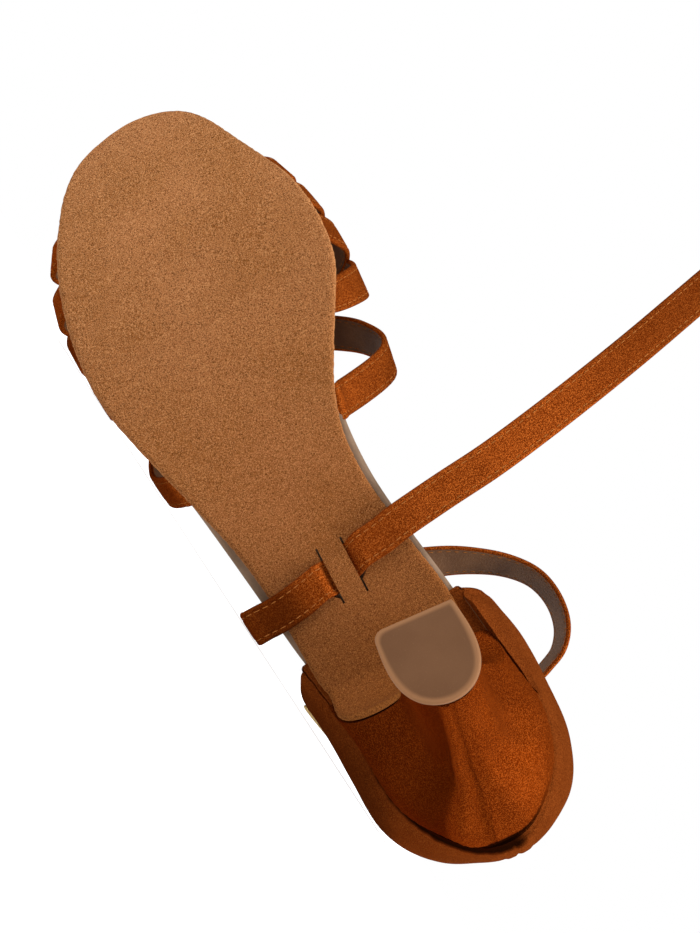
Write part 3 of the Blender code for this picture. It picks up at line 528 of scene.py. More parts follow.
class Finish:
    """A material under construction, or the world's surroundings."""

    def __init__(self, name, holder=None, shader="Principled BSDF", **constants):
        self.holder = bpy.data.materials.new(name) if holder is None else holder
        self.holder.use_nodes = True
        self.tree = self.holder.node_tree
        self.shader = self.tree.nodes[shader]
        self.paint(**constants)

    def give(self, socket, value):
        """Link a socket or set its value."""
        if isinstance(value, Number):
            value = value.socket
        if isinstance(value, bpy.types.NodeSocket):
            self.tree.links.new(value, socket)
        else:
            socket.default_value = value

    def node(self, kind, settings, sockets, output):
        """Add a node: its settings first, then its sockets; gives the named output."""
        made = self.tree.nodes.new(kind)
        for key, value in settings.items():
            setattr(made, key, value)
        for key, value in sockets.items():
            self.give(made.inputs[key], value)
        return made.outputs[output]

    def number(self, *made):
        """Add a node whose named output carries a number."""
        return Number(self, self.node(*made))

    def place(self):
        """Places in the row frame, metres."""
        return self.node("ShaderNodeTexCoord", {}, {}, "Object")

    def cloth(self, turn, stretch):
        """Flat places on the cloth, turned and stretched."""
        flat = self.node("ShaderNodeUVMap", {"uv_map": "cloth"}, {}, "UV")
        return self.node("ShaderNodeMapping", {}, {
            "Vector": flat, "Rotation": (0.0, 0.0, turn), "Scale": (*stretch, 1.0)}, "Vector")

    def noise(self, scale, detail=2.0, rough=0.5, at=None):
        """Soft noise from 0 to 1, over the row frame unless other places are given."""
        at = self.place() if at is None else at
        return self.number("ShaderNodeTexNoise", {}, {
            "Vector": at, "Scale": scale, "Detail": detail, "Roughness": rough}, "Fac")

    def mark(self, name):
        """A named number at each point."""
        return self.number("ShaderNodeAttribute", {"attribute_name": name}, {}, "Fac")

    def camera_only(self):
        """One where the camera looks straight at it, zero for the light that it throws on the shoe."""
        return self.number("ShaderNodeLightPath", {}, {}, "Is Camera Ray")

    def mix(self, share, first, second):
        """Colour between two colours."""
        colours = [(*tone, 1.0) if isinstance(tone, tuple) else tone for tone in (first, second)]
        return self.node("ShaderNodeMix", {"data_type": "RGBA"}, {0: share, 6: colours[0], 7: colours[1]}, 2)

    def bump(self, height, reach, strength=1.0):
        """Relief: a height from 0 to 1 over a reach in metres."""
        self.paint(Normal=self.node("ShaderNodeBump", {}, {
            "Height": height, "Distance": reach, "Strength": strength}, "Normal"))

    def paint(self, **sockets):
        """Feed the shader's own sockets."""
        for socket, value in sockets.items():
            self.give(self.shader.inputs[socket.replace("_", " ")], value)


def times(factor, colour):
    """A colour made darker or lighter."""
    return tuple(factor * part for part in colour)


def suede_finish():
    """Brushed suede: broad clouds, a short nap of light and dark fibres, and darker towards the heel, partly
    the suede's own tone and partly painted shade where the heel shades the waist.
    """
    f = Finish("suede_nap", Roughness=0.95, Specular_IOR_Level=0.06)
    clouds = f.noise(42.0, 3.0)
    mottle = f.noise(260.0, 4.0, 0.6)
    nap = f.noise(2600.0, 2.0, 0.7)
    fibre = f.noise(3600.0, 2.0, 0.65)
    along = f.number("ShaderNodeSeparateXYZ", {}, {"Vector": f.place()}, "X")
    # painted shade, partly real tone: body and light fibres darken from the ball towards the heel
    heelward_shade = along.between(-0.105, 0.095)
    body = f.mix(clouds.between(0.32, 0.68), (0.305, 0.112, 0.031), (0.375, 0.145, 0.050))
    body = f.mix(mottle.between(0.40, 0.70) * 0.25, body, (0.45, 0.182, 0.066))
    body = f.mix(heelward_shade * 0.88, body, (0.160, 0.042, 0.0060))
    body = f.mix(nap.between(0.54, 0.37) * 0.88, body, (0.090, 0.024, 0.004))
    light = f.mix(heelward_shade, (0.76, 0.37, 0.150), (0.36, 0.120, 0.022))
    body = f.mix(fibre.between(0.50, 0.61) * 0.62, body, light)
    raw = f.mark("edge").between(0.55, 0.05) * nap.between(0.35, 0.60)
    f.bump(nap * 0.6 + fibre * 0.4, 0.0006)
    f.paint(Base_Color=f.mix(raw * 0.45, body, light))
    return f.holder


def satin_finish(name, deep, body, glint_colour, metallic, speck):
    """Satin: threads float on the slant; fine slanting streaks and specks are painted glints, with darker
    specks among them.

    The mark "tucked" is painted shade, near black, where the satin turns in between two pieces; the second
    mark is painted shade too, a deeper colour where the satin faces away from the lights.
    """
    f = Finish(name, Specular_IOR_Level=0.0, Specular_Tint=(1.0, 0.40, 0.14, 1.0))
    streaks = f.noise(1.0, at=f.cloth(0.85, (260.0, 900.0)))
    specks = f.noise(3100.0, 2.0, 0.6)
    tucked = f.mark("tucked")
    colour = f.mix(f.noise(75.0).between(0.20, 0.80), deep, body)
    for share, shade in (
            # painted glints in streaks and specks, then darker specks
            (streaks.between(0.50, 0.66) * (0.40 * speck), glint_colour),
            (specks.between(0.50, 0.61) * (0.90 * speck), glint_colour),
            (specks.between(0.49, 0.35) * (0.90 * speck), times(0.5, deep)),
            # painted shade: deeper away from the lights, and near black in the tuck
            (f.mark("against") * 0.72, times(0.35, deep)),
            (tucked * 0.95, (0.012, 0.003, 0.001))):
        colour = f.mix(share, colour, shade)
    f.bump(streaks * 0.45 + specks * 0.55, 0.0002, 0.8)
    f.paint(Base_Color=colour, Roughness=0.40 + 0.20 * specks + 0.30 * tucked,
            Metallic=metallic * (1 - tucked) + 0.95 * tucked)
    return f.holder


def grained_finish(name, tones, clouds, grain, relief, roughness, flecks=None, rim=None, **constants):
    """A finish with clouds between two tones, and one fine grain that gives flecks, relief and roughness.

    Clouds and grain are a noise's numbers; the clouds' last two, and the flecks' first two, are where
    they begin and end.  Flecks go on with a share and a colour, and a rim is paler in the same way
    within 2 mm of the mark "inset".
    """
    f = Finish(name, **constants)
    grain = f.noise(*grain)
    broad = f.noise(*clouds[:-2]) if len(clouds) > 2 else grain
    colour = f.mix(broad.between(*clouds[-2:]), *tones)
    if rim:
        share, tone = rim
        colour = f.mix(f.mark("inset").between(2.0, 0.6) * share, colour, tone)
    if flecks:
        begin, end, share, tone = flecks
        colour = f.mix(grain.between(begin, end) * share, colour, tone)
    f.bump(grain, *relief)
    f.paint(Base_Color=colour, Roughness=roughness[0] + roughness[1] * grain)
    return f.holder


# ---------------------------------------------------------------- sole and footbed

def heel_height(share, x):
    """Height of a heel section at x: sections fan out from the level tip to the sloping seat."""
    low = TIP_HEIGHT + GAP
    return low + share * (below_bed(x, GAP) - low)


def seat_rows(front):
    """Rows of the footbed's outline from its round back up to a front."""
    rows = along_rows(INSOLE[1:], 4)
    return rows[rows[:, 0] <= front]


def round_outline(rows):
    """Plan line round outline rows: the outer side from the front to the back, then the inner side."""
    return np.concatenate([rows[::-1, [0, 2]], rows[:, [0, 1]]])


def seat_edges(depth):
    """Outer and inner edge of the heel's seat, a little outside the footbed, from lip to round back."""
    rows = seat_rows(LIP_X + 4)
    sides = []
    for index, sign in ((2, 1), (1, -1)):
        edge = rows[:, [0, index]]
        edge = edge + sign * SEAT_EDGE * beside(direction_along(edge))
        x = LIP_X + (edge[0, 0] - LIP_X) * depth
        sides.append(np.interp(x, edge[:, 0], edge[:, 1]))
    return sides


def heel_ring(share, rungs):
    """D-shaped plan of the heel at a share of its height.

    A superellipse whose straight side is the breast; above half height its sides blend into the seat.
    """
    front, back, middle, half = columns_at(HEEL, share)[:, 0]
    depth = np.sin(np.linspace(0, 1, rungs) * math.pi / 2) ** 1.25
    depth[-1] = HEEL_BACK
    wide = np.sqrt(1 - depth ** (4.0 - 1.5 * share)) * (1 - 0.10 * (1 - share) * (1 - depth) ** 3)
    x = front + (back - front) * depth
    turned = HEEL_TURN * (1 - share) * half * wide
    outer = np.stack([x + turned, middle - half * wide], axis=1)
    inner = np.stack([x - turned, middle + half * wide], axis=1)
    blend = step_up(share, 0.55, 1.0)
    for side, seat in zip((outer, inner), seat_edges(depth)):
        side[:, 1] += blend * (seat - side[:, 1])
    return np.concatenate([outer, inner[::-1]])


def outsole_rows():
    """Outsole stations: up the breast of the heel, round its lip and on to the toe."""
    shares = np.array(BREAST_SHARES)
    front = columns_at(HEEL, shares)[0]
    height = heel_height(shares, front)
    way = direction_along(np.stack([front, height], axis=1))
    corners = np.array([heel_ring(share, 13)[[0, -1], 1] for share in shares])
    breast = np.stack([
        front + way[:, 1] * 2.5 * GAP, np.minimum(corners[:, 1] - FLAP_INSET, FLAP_REACH - 0.5),
        corners[:, 0] + FLAP_INSET, height - way[:, 0] * 2.5 * GAP], axis=1)
    lip = np.array([[56.4, 16.2, -24.5, below_bed(56.4, GAP + 0.55)]])
    rest = np.array(OUTSOLE)
    return np.concatenate([breast, lip, np.column_stack([rest, below_bed(rest[:, 0], GAP)])])


def rungs_between(rows, share):
    """Surface of straight rungs from the inner to the outer edge of each row; share is per row and column."""
    x, inner, outer, height = (rows[:, k:k + 1] for k in range(4))
    return np.dstack([x + 0 * share, inner + (outer - inner) * share, height + 0 * share])


def edge_distance(grid):
    """Distance from each point of a grid to the grid's outline."""
    outline = np.concatenate([grid[:, 0], grid[-1, 1:-1], grid[::-1, -1], grid[0, -2:0:-1]])
    start = outline[None]
    span = np.roll(outline, -1, axis=0)[None] - start
    size = np.maximum(np.sum(span * span, axis=2), 1e-9)
    nearest = []
    for part in np.array_split(grid.reshape(-1, 3), 40):
        off = part[:, None] - start
        t = np.clip(np.sum(off * span, axis=2) / size, 0, 1)
        nearest.append(np.linalg.norm(off - t[..., None] * span, axis=2).min(axis=1))
    return np.concatenate(nearest).reshape(grid.shape[:2])


def facing_up(grid):
    """Normals of a grid that look up from the footbed, and whether the grid's own faces do."""
    normal = grid_normals(grid)
    up = normal[len(grid) // 2, grid.shape[1] // 2, 2] > 0
    return (normal if up else -normal), up


def keeper_shares(rows):
    """Shares of each row that gather round the keeper: they step evenly between its slits' edges."""
    half_strap = STRAP_WIDTH / 2 / math.hypot(1, float(bed_slope(KEEPER_X)))
    inner_slit, outer_slit = (
        SLIT_END + (SLIT - SLIT_END) * step_up(half_strap + 0.1 - np.abs(rows[:, 0] - centre), 0.0, 1.5)
        for centre in KEEPER_CENTRES)
    bridge = np.tile(BRIDGE / 2, len(rows))
    stops = KEEPER_Y + np.stack([bridge + inner_slit, bridge, -bridge, -bridge - outer_slit], axis=1)
    stops = (stops - rows[:, 1:2]) / (rows[:, 2:3] - rows[:, 1:2])
    stops = np.pad(stops, ((0, 0), (1, 1)), constant_values=((0, 0), (0, 1)))
    columns = np.arange(SOLE_STOPS[-1] + 1)
    return stops @ np.array([np.interp(columns, SOLE_STOPS, weight) for weight in np.eye(len(SOLE_STOPS))])


def build_sole(suede):
    """Suede outsole.

    Rungs across the outline table; the border rounds off over a millimetre and wavers like a raw cut.
    Columns gather round the keeper so that both slits are whole cells, left open, and the bridge
    between them lifts in an even arch.
    """
    table = outsole_rows()
    stations = np.arange(len(table))
    steps = np.linspace(0, stations[-1], 330)
    waist = steps > len(BREAST_SHARES) + 0.5
    x_at = smooth(stations, table, steps[waist])[:, 0]
    ends = np.interp([KEEPER_X - KEEPER_LENGTH / 2, KEEPER_X + KEEPER_LENGTH / 2], x_at, steps[waist])
    steps = np.sort(np.concatenate([steps, ends]))
    slits = slice(*np.searchsorted(steps, ends))
    rows = smooth(stations, table, steps)
    x = rows[:, 0]
    under = x >= OUTSOLE[0][0]
    rows[under, 3] = below_bed(x[under], GAP)
    walked = length_along(rows[:, [0, 3]])
    for index, sign, seed in ((1, 1, 5), (2, -1, 9)):
        rows[:, index] += sign * (0.07 * waver(walked, (1.1, 1.7, 2.3), seed)
                                  + 0.05 * waver(walked, (0.8, 3.1), seed + 1))

    even = np.linspace(0, 1, SOLE_STOPS[-1] + 1)
    near = step_up(x, KEEPER_X - 22, KEEPER_X - 12) * step_up(x, KEEPER_X + 30, KEEPER_X + 12)
    base = rungs_between(rows, even + (keeper_shares(rows) - even) * near[:, None])
    edge = edge_distance(base)
    normal, up = facing_up(base)
    skin = SUEDE * (0.45 + 0.55 * eased(edge, 1.1))
    skin += 0.10 * waver(base[:, :, 0] + 0.6 * base[:, :, 1], (17.0, 29.0, 41.0), 3)
    from_keeper = np.clip(np.abs(x - KEEPER_X) / (KEEPER_LENGTH / 2), 0, 1)
    lift = np.zeros(edge.shape)
    lift[:, SOLE_STOPS[2]:SOLE_STOPS[3] + 1] = (
        BRIDGE_RISE * (1 - from_keeper**4) * step_up(-from_keeper, -1.0, -0.35))[:, None]
    keep = np.ones((len(rows) - 1, SOLE_STOPS[-1]), dtype=bool)
    for first in (1, 3):
        keep[slits, SOLE_STOPS[first]:SOLE_STOPS[first + 1]] = False
    upper = base - normal * (skin + lift)[..., None]
    lower = base - normal * (lift * 1.12 + 0.02)[..., None]
    sheet("suede_sole", upper, lower, [suede], "outsole", flip=up, keep=keep, marks={"edge": edge})


def build_footbed(board, sock, thread):
    """Board with a rounded lower edge, and over it the padded sock.

    Both are rungs across the outline.  The sock's top swells to a soft crown, dips under the heel and
    drops into a groove a little inside its edge, where its stitches lie.
    """
    rows = along_rows(INSOLE, 8)
    across = np.tile(0.5 - 0.5 * np.cos(np.linspace(0, np.pi, 41)), (len(rows), 1))
    grid = rungs_between(np.column_stack([rows, bed(rows[:, 0])]), across)
    edge = edge_distance(grid)
    normal, up = facing_up(grid)
    low = 0.9 * (1 - eased(edge, 1.2))
    sheet("insole_board", grid + normal * BOARD, grid + normal * low[..., None], [board],
          "insole", flip=not up, sharp=50.0)

    inset = SOCK_INSET * (1 - edge / edge.max()) * (edge < 0.5)
    drawn = grid + unit((np.array([*BED_MIDDLE, 0]) - grid) * (0.35, 1.0, 0.0)) * inset[..., None]
    swell = (FOOTBED - BOARD - 0.3) * (0.35 + 0.65 * eased(edge, 1.6))
    swell += 0.35 * step_up(edge, 3.4, 9.0) - 0.35 * hump(edge, SOCK_SEAM, 0.55)
    swell -= 0.9 * hump(grid[..., 0], 30.0, 18.0) * hump(grid[..., 1], 0.5, 12.0)
    piece = sheet("padded_sock", drawn + normal * (BOARD + swell)[..., None], drawn + normal * (BOARD + 0.02),
                  [sock], "insole", flip=not up, sharp=50.0)

    outline = round_outline(rows)
    seam = outline - SOCK_SEAM * away_from(BED_MIDDLE, outline, direction_along(outline))
    seam = seam[(outline[:, 0] > 7) & (outline[:, 0] < 217)]
    line = np.column_stack([seam, bed(seam[:, 0]) + BOARD + 1.35])
    stitch_line("sock_stitches", [(line, off_bed(seam[:, 0]))], thread, "insole")


# ---------------------------------------------------------------- stitches

def stitch_line(name, lines, thread, node):
    """Rows of stitches.

    Each stitch is a small spindle of six rings; it starts and ends in the cloth and arches over it.  The
    spindles stand at even steps of length along each line.
    """
    along = np.array([-1.0, -0.86, -0.4, 0.4, 0.86, 1.0])
    thick = np.array([0.35, 0.8, 1.0, 1.0, 0.8, 0.35]) * THREAD
    rise = (1 - along**4) * 0.16 - 0.14
    turn = 2 * np.pi * np.arange(6) / 6
    shape, faces = loft(np.dstack([
        np.repeat(along[:, None] * STITCH_LENGTH / 2, 6, axis=1), np.outer(thick, np.cos(turn)),
        rise[:, None] + np.outer(thick, np.sin(turn))]))
    stitches = []
    for line, face in lines:
        walked = length_along(line)
        places = np.arange(STITCH_PITCH, walked[-1] - STITCH_PITCH / 2, STITCH_PITCH)
        centre, way, out = (
            np.stack([np.interp(places, walked, values[:, k]) for k in range(3)], axis=1)
            for values in (line, direction_along(line), face))
        way = unit(way)
        side = unit(np.cross(out, way))
        axes = np.stack([way, side, np.cross(way, side)], axis=1)
        stitches.append(centre[:, None] + np.einsum("pk,nkc->npc", shape, axes))
    points = np.concatenate(stitches)
    quads = (faces[None] + (np.arange(len(points)) * len(shape))[:, None, None]).reshape(-1, 4)
    ride_on(make_piece(name, points.reshape(-1, 3), quads, [thread], sharp=80.0), node)


# ---------------------------------------------------------------- heel

def build_heel(satin):
    """Satin cover of the heel: D sections fanning from tip to seat, the inner front corner rounded.

    Each fold is a bell across the section whose place and width change evenly from the tip to the seat,
    so the folds open out like a fan.  Round the seat the satin ripples a little and is tucked in.
    """
    rungs, corner = 80, 10
    shares = np.concatenate([np.linspace(0, 0.5, 26), np.linspace(0.515, 1.0, 46)])
    place = np.clip((np.arange(2 * rungs + corner) + 0.5) / (2 * rungs), 0, 1)
    at_back = step_up(place, 0.22, 0.34) * step_up(-place, -0.74, -0.52)
    off_lips = step_up(place, 0.0, 0.08) * step_up(-place, -0.99, -0.92)
    bend = np.linspace(0, np.pi / 2, corner + 1)[1:]
    rings = []
    for share in shares:
        plan = heel_ring(share, rungs)
        front, edge = plan[-1]
        cut = HEEL_CORNER * step_up(share, 0.45, 0.80)
        covered = min(edge - 0.4, FLAP_REACH - 1.0)
        off = np.clip((front - plan[rungs:, 0]) / (HEEL_CORNER * 1.6), 0, 1)
        plan[rungs:, 0] -= cut * (1 - off) ** 2
        plan = np.concatenate([plan, np.stack([
            front - cut + cut * np.sin(bend), covered + (edge - covered) * np.cos(bend)], axis=1)])
        way = unit(np.roll(plan, -1, axis=0) - np.roll(plan, 1, axis=0))
        fold = sum(height * hump(place, np.interp(share, HALVES, row), near + (far - near) * share)
                   for *row, near, far, height in HEEL_FOLDS)
        fold = fold * (0.30 + 0.70 * step_up(share, 0.0, 0.60)) * (1 - 0.85 * step_up(share, 0.78, 1.0))
        fold = fold + 0.10 * step_up(share, 0.88, 0.99) * np.sin(place * 300.0)
        fold = fold - SEAT_TUCK * step_up(share, 0.935, 0.99) * at_back
        plan = plan + away_from(plan.mean(axis=0), plan, way) * ((fold - 0.1) * off_lips)[:, None]
        rings.append(np.column_stack([plan, heel_height(share, plan[:, 0])]))
    rings = np.array(rings)
    points, quads = loft(rings)
    around = length_along(rings[len(rings) // 2])
    up = length_along(rings[:, rungs])
    cloth = np.stack(np.meshgrid(up, around, indexing="ij"), axis=2).reshape(-1, 2)
    # Painted shade: a deeper colour on the heel's outer side beyond the ridge and in the deep fold beside it,
    # and near black round the back of the seat where the satin turns in.
    from_ridge, from_valley = (place - np.interp(shares, HALVES, row)[:, None] for row in (RIDGE, VALLEY))
    against = step_up(-from_ridge, -0.012, 0.020) * (0.60 + 0.40 * hump(from_ridge, -0.04, 0.10))
    against += 0.45 * hump(from_valley, 0.0, 0.02) * (1 - against)
    marks = {"tucked": np.outer(step_up(shares, 0.93, 0.965), at_back).ravel(), "against": against.ravel()}
    piece = make_piece("heel_cover", points, quads, [satin], cloth=cloth, marks=marks, sharp=45.0)
    ride_on(piece, "heel")


def build_tip(rubber):
    """Top piece: rings of the heel's D at set insets, flaring down to a rounded rim and a flat tread."""
    plan = heel_ring(0.0, 60)
    middle = plan.mean(axis=0)
    near_front = np.clip(1 - (plan[:, 0].max() - plan[:, 0]) / TIP_CORNER, 0, 1)
    plan[:, 1] -= np.sign(plan[:, 1] - middle[1]) * TIP_CORNER * (1 - np.sqrt(1 - near_front**2))
    reach = np.linalg.norm(plan - middle, axis=1, keepdims=True)
    rings = []
    for height, inset in TIP_SIDE:
        ring = middle + (plan - middle) * (1 - inset / reach)
        front, back = ring[:, 0].max(), ring[:, 0].min()
        ring[:, 0] -= TIP_RAKE * (1 - height / TIP_HEIGHT) * (front - ring[:, 0]) / (front - back)
        rings.append(np.column_stack([ring, np.full(len(ring), height)]))
    points, quads = loft(np.array(rings))
    inset = np.repeat([3.0 if height > 0.7 else inset + 0.5 for height, inset in TIP_SIDE], len(plan))
    piece = make_piece("top_piece", points, quads, [rubber], marks={"inset": inset}, sharp=40.0)
    ride_on(piece, "heel_tip")


# ---------------------------------------------------------------- counter

def build_counter(finishes, thread):
    """Heel counter.

    Stations walk round the seat in even steps.  At each, the wall stands out from the footbed's edge
    by a parabola in height that meets the bulge and top-line columns of the table.  A thin flange turns
    in under the footbed, the top edge is a rolled fold with a row of stitches, and a seam with its tape
    runs up the back.
    """
    plan = round_outline(seat_rows(COUNTER_FRONT))
    walked = length_along(plan)
    plan = smooth(walked, plan, np.linspace(0, walked[-1], 261))
    out = away_from(SEAT_MIDDLE, plan, direction_along(plan))
    plan = plan + out * GAP
    here = np.clip(plan[:, 0], COUNTER[0][0], COUNTER_FRONT)
    rise, bulge_outer, bulge_inner, top_outer, top_inner = columns_at(COUNTER, here)[..., None]
    inner_side = plan[:, 1:] > 1.0
    bulge = np.where(inner_side, bulge_inner, bulge_outer)
    top = np.where(inner_side, top_inner, top_outer)
    to_front = COUNTER_FRONT - here[:, None]
    rise = rise * (0.25 + 0.75 * eased(to_front, COUNTER_CORNER))
    share = np.concatenate([[0.0, 0.02, 0.05], np.linspace(0.08, 0.86, 26),
                            1 - 0.14 * (1 - np.sin(np.linspace(0, np.pi / 2, 14)[1:]))])
    at_foot = 1 - np.clip(share / 0.17, 0, 1)
    lap = step_up(plan[:, :1], 30.0, 42.0) * step_up(to_front, 0.5, 7.0) * inner_side
    stand = top * share + 4 * (bulge - top / 2) * share * (1 - share)
    stand = stand * (1 - at_foot) + COUNTER_OVER * at_foot * lap

    reach = np.tile(np.linspace(-FLANGE, 0.6, 6), (len(plan), 1))
    turned = reach.shape[1]
    stand = np.concatenate([reach, stand], axis=1)
    above = np.concatenate([0 * reach - 1, rise * share], axis=1)
    height = bed(plan[:, :1]) + np.where(above < 0, -0.14, COUNTER_FOOT - COUNTER_LAP * lap + above)
    grid = np.dstack([plan[:, :1] + out[:, :1] * stand, plan[:, 1:] + out[:, 1:] * stand, height])
    normal = grid_normals(grid)
    quarter = len(plan) // 4
    outwards = np.sum(normal[quarter, grid.shape[1] // 2, :2] * out[quarter]) > 0
    normal = normal if outwards else -normal
    normal[:, :turned - 1] = (0.0, 0.0, -1.0)
    normal[:, turned - 1] = unit(np.column_stack([out, -np.ones(len(out))]))

    below_top = rise - above
    rounded = eased(np.minimum(below_top + 0.02, to_front + 0.05), 1.0)
    half = np.where(above < 0, 0.12, WALL / 2 * np.clip(0.35 + np.clip(above, 0, 2) * 0.4, 0, 1)) * rounded
    half = np.maximum(half, 0.05)
    walk = length_along(plan)[:, None]
    from_seam = walk - walk[-1] / 2
    relief = 0.16 * hump(below_top, 1.6, 1.4) - 0.16 * hump(below_top, 4.0, 0.5)    # rolled top
    relief += 0.32 * step_up(-np.abs(from_seam), -4.4, -3.6) * (above > 0)    # tape
    relief -= 0.5 * hump(from_seam, 0, 0.45) * (above > 0)    # seam
    relief += 0.9 * hump(from_seam, 1.4, 2.4) * hump(above, 5.0, 4.5)    # its foot
    relief += 0.12 * waver(walk, (5.2, 7.7, 3.9), 17) * hump(above, 2.5, 3.0)    # puckers
    mid = grid + normal * (WALL / 2 * (above >= 0))[..., None]
    outer = mid + normal * (half + relief * rounded)[..., None]
    # Painted shade: the wall darkens over its lowest 3 mm round the back, less on the inner side, in the
    # groove over the heel.
    behind = step_up(-plan[:, :1], -44.0, -32.0) * (1 - 0.75 * step_up(plan[:, 1:], 2.0, 7.0))
    inner = mid - normal * half[..., None]
    sheet("heel_counter_cover", outer, inner, finishes, "heel_counter", flip=not outwards,
          cloth=np.dstack([walk + 0 * above, above]), marks={"tucked": step_up(-above, -3.0, -0.6) * behind})

    column = turned + np.interp(1 - TOP_STITCH / rise[:, 0], share, np.arange(len(share)))
    low = column.astype(int)
    k = np.arange(len(plan))
    t = (column - low)[:, None]
    line = outer[k, low] * (1 - t) + outer[k, low + 1] * t
    keep = (to_front[:, 0] > 4.0) & (rise[:, 0] > 12)
    lines = [(line[keep], normal[k, low][keep])]
    stitch_line("counter_stitches", lines, thread, "heel_counter")


# ---------------------------------------------------------------- straps

def build_band(name, centre, across, width, thick, finishes, thread, node, bare=(0.0, 0.0), against=0.0):
    """A folded satin strap along a centre line.

    Across the strap its half thickness follows a quarter circle at either edge, with a low crown and a
    shallow groove where each row of stitches draws it down.  Stitches run on the satin and the lining,
    and leave so much bare at either end.
    """
    walked = length_along(centre)
    half_width = (width * np.ones(len(centre)) / 2)[:, None]
    spread = np.sin(np.linspace(-np.pi / 2, np.pi / 2, 41))
    side = half_width * spread
    grid = centre[:, None] + across[:, None] * side[..., None]
    normal = grid_normals(grid)
    from_edge = half_width - np.abs(side)
    full = thick / 2 * eased(from_edge + 0.01, 0.8)
    groove = 0.13 * hump(from_edge, STITCH_INSET, 0.42)
    crown = 0.10 * (1 - spread**2)
    crease = 0.05 * waver(walked, (6.3, 9.7, 15.1), len(name))[:, None] * step_up(from_edge, 1.5, 3.0)
    # the strap's second mark carries painted shade, a deeper colour, into the satin finish
    sheet(name, grid + normal * (full + crown - groove + crease)[..., None],
          grid - normal * (full - groove * 0.7 - crease * 0.5)[..., None], finishes, node,
          cloth=np.dstack([walked[:, None] + 0 * side, side]), hem=7,
          marks={"against": np.reshape(against, (-1, 1)) + 0 * side})

    chosen = (walked >= bare[0]) & (walked <= walked[-1] - bare[1])
    lines = []
    for sign in (-1, 1):
        near = np.abs(spread - sign * (1 - 2 * STITCH_INSET / STRAP_WIDTH)).argmin()
        row = centre + across * sign * (half_width - STITCH_INSET)
        for face, sunk in ((normal[chosen, near], 0.05), (-normal[chosen, near], 0.12)):
            lines.append((row[chosen] + face * (thick / 2 - sunk), face))
    stitch_line(name + "_stitches", lines, thread, node)


def form_point(x, girth):
    """Point on the strap surface: x along the shoe, girth from the tucked outer end to the inner.

    Each cross-section is a smooth curve: tucked under the footbed, round its edge, out to the foot's
    widest line, over the instep, and down the other side in the same way.
    """
    inner_edge, outer_edge = columns_at(INSOLE[SIDES_FROM:], x)
    outer, inner, height = columns_at(FOOT, x)
    base = bed(x)
    middle = (inner - outer) / 2

    def half(edge, widest, side):
        """Knots of one side, from the tucked end up."""
        reach = widest - middle
        return [
            (edge - side * TUCK, base + TUCK_RISE), (edge - side * 1.5, base + TUCK_RISE),
            (edge + side * 0.35, base + 1.5), (edge + side * 1.15, base + 4.2),
            (widest, base + FOOTBED + 0.36 * height), (middle + 0.86 * reach, base + FOOTBED + 0.70 * height),
            (middle + 0.50 * reach, base + FOOTBED + 0.94 * height)]

    top = [(middle, base + FOOTBED + height)]
    rows = half(outer_edge, -outer, -1) + top + half(inner_edge, inner, 1)[::-1]
    knots = np.concatenate([GIRTH, GIRTH[-1] + np.cumsum(np.diff(GIRTH)[::-1])])
    rows = np.array(rows).transpose(0, 2, 1)
    pick = np.arange(len(x))
    return np.column_stack([x, smooth(knots, rows, girth)[pick, pick]])


def build_vamp(finishes, thread):
    """Five straps over the form.

    A strap's place along the shoe is a power of the share walked over the form, so that it runs fastest
    beside the foot that stands further back; between its sides it sinks to its level in the lattice.
    """
    half = np.concatenate([np.linspace(0, 7.0, 8), np.linspace(7.3, 15.0, 26), np.linspace(15.6, 65.4, 56)])
    girth = np.concatenate([half, [GIRTH[-1]], 2 * GIRTH[-1] - half[::-1]])
    from_side = np.minimum(girth, 2 * GIRTH[-1] - girth)
    squared = step_up(from_side, GIRTH[1], GIRTH[4])[:, None]
    sunk = np.clip((from_side - GIRTH[4]) / 14.0, 0, 1)[:, None]
    span = 2 * GIRTH[-1] - 2 * GIRTH[3]
    off = girth - GIRTH[3]
    walked = (ramp(off, TURN_EASE) - ramp(off - span, TURN_EASE)) / span
    for name, outer_x, inner_x, bend, lift in STRAPS:
        share = 1 - (1 - walked) ** bend if outer_x < inner_x else walked**bend
        first, last = np.interp((0, span), off, share)
        x = outer_x + (inner_x - outer_x) * ((share - first) / (last - first))
        centre = form_point(x, girth)
        along_form = unit(form_point(x + 1.0, girth) - form_point(x - 1.0, girth))
        way = direction_along(centre)
        across = unit(along_form - squared * way * np.sum(along_form * way, axis=1, keepdims=True))
        face = unit(np.cross(across, way))
        build_band("strap_" + name, centre - face * lift * sunk, -across, STRAP_WIDTH, STRAP_THICK, finishes,
                   thread, "vamp_straps")


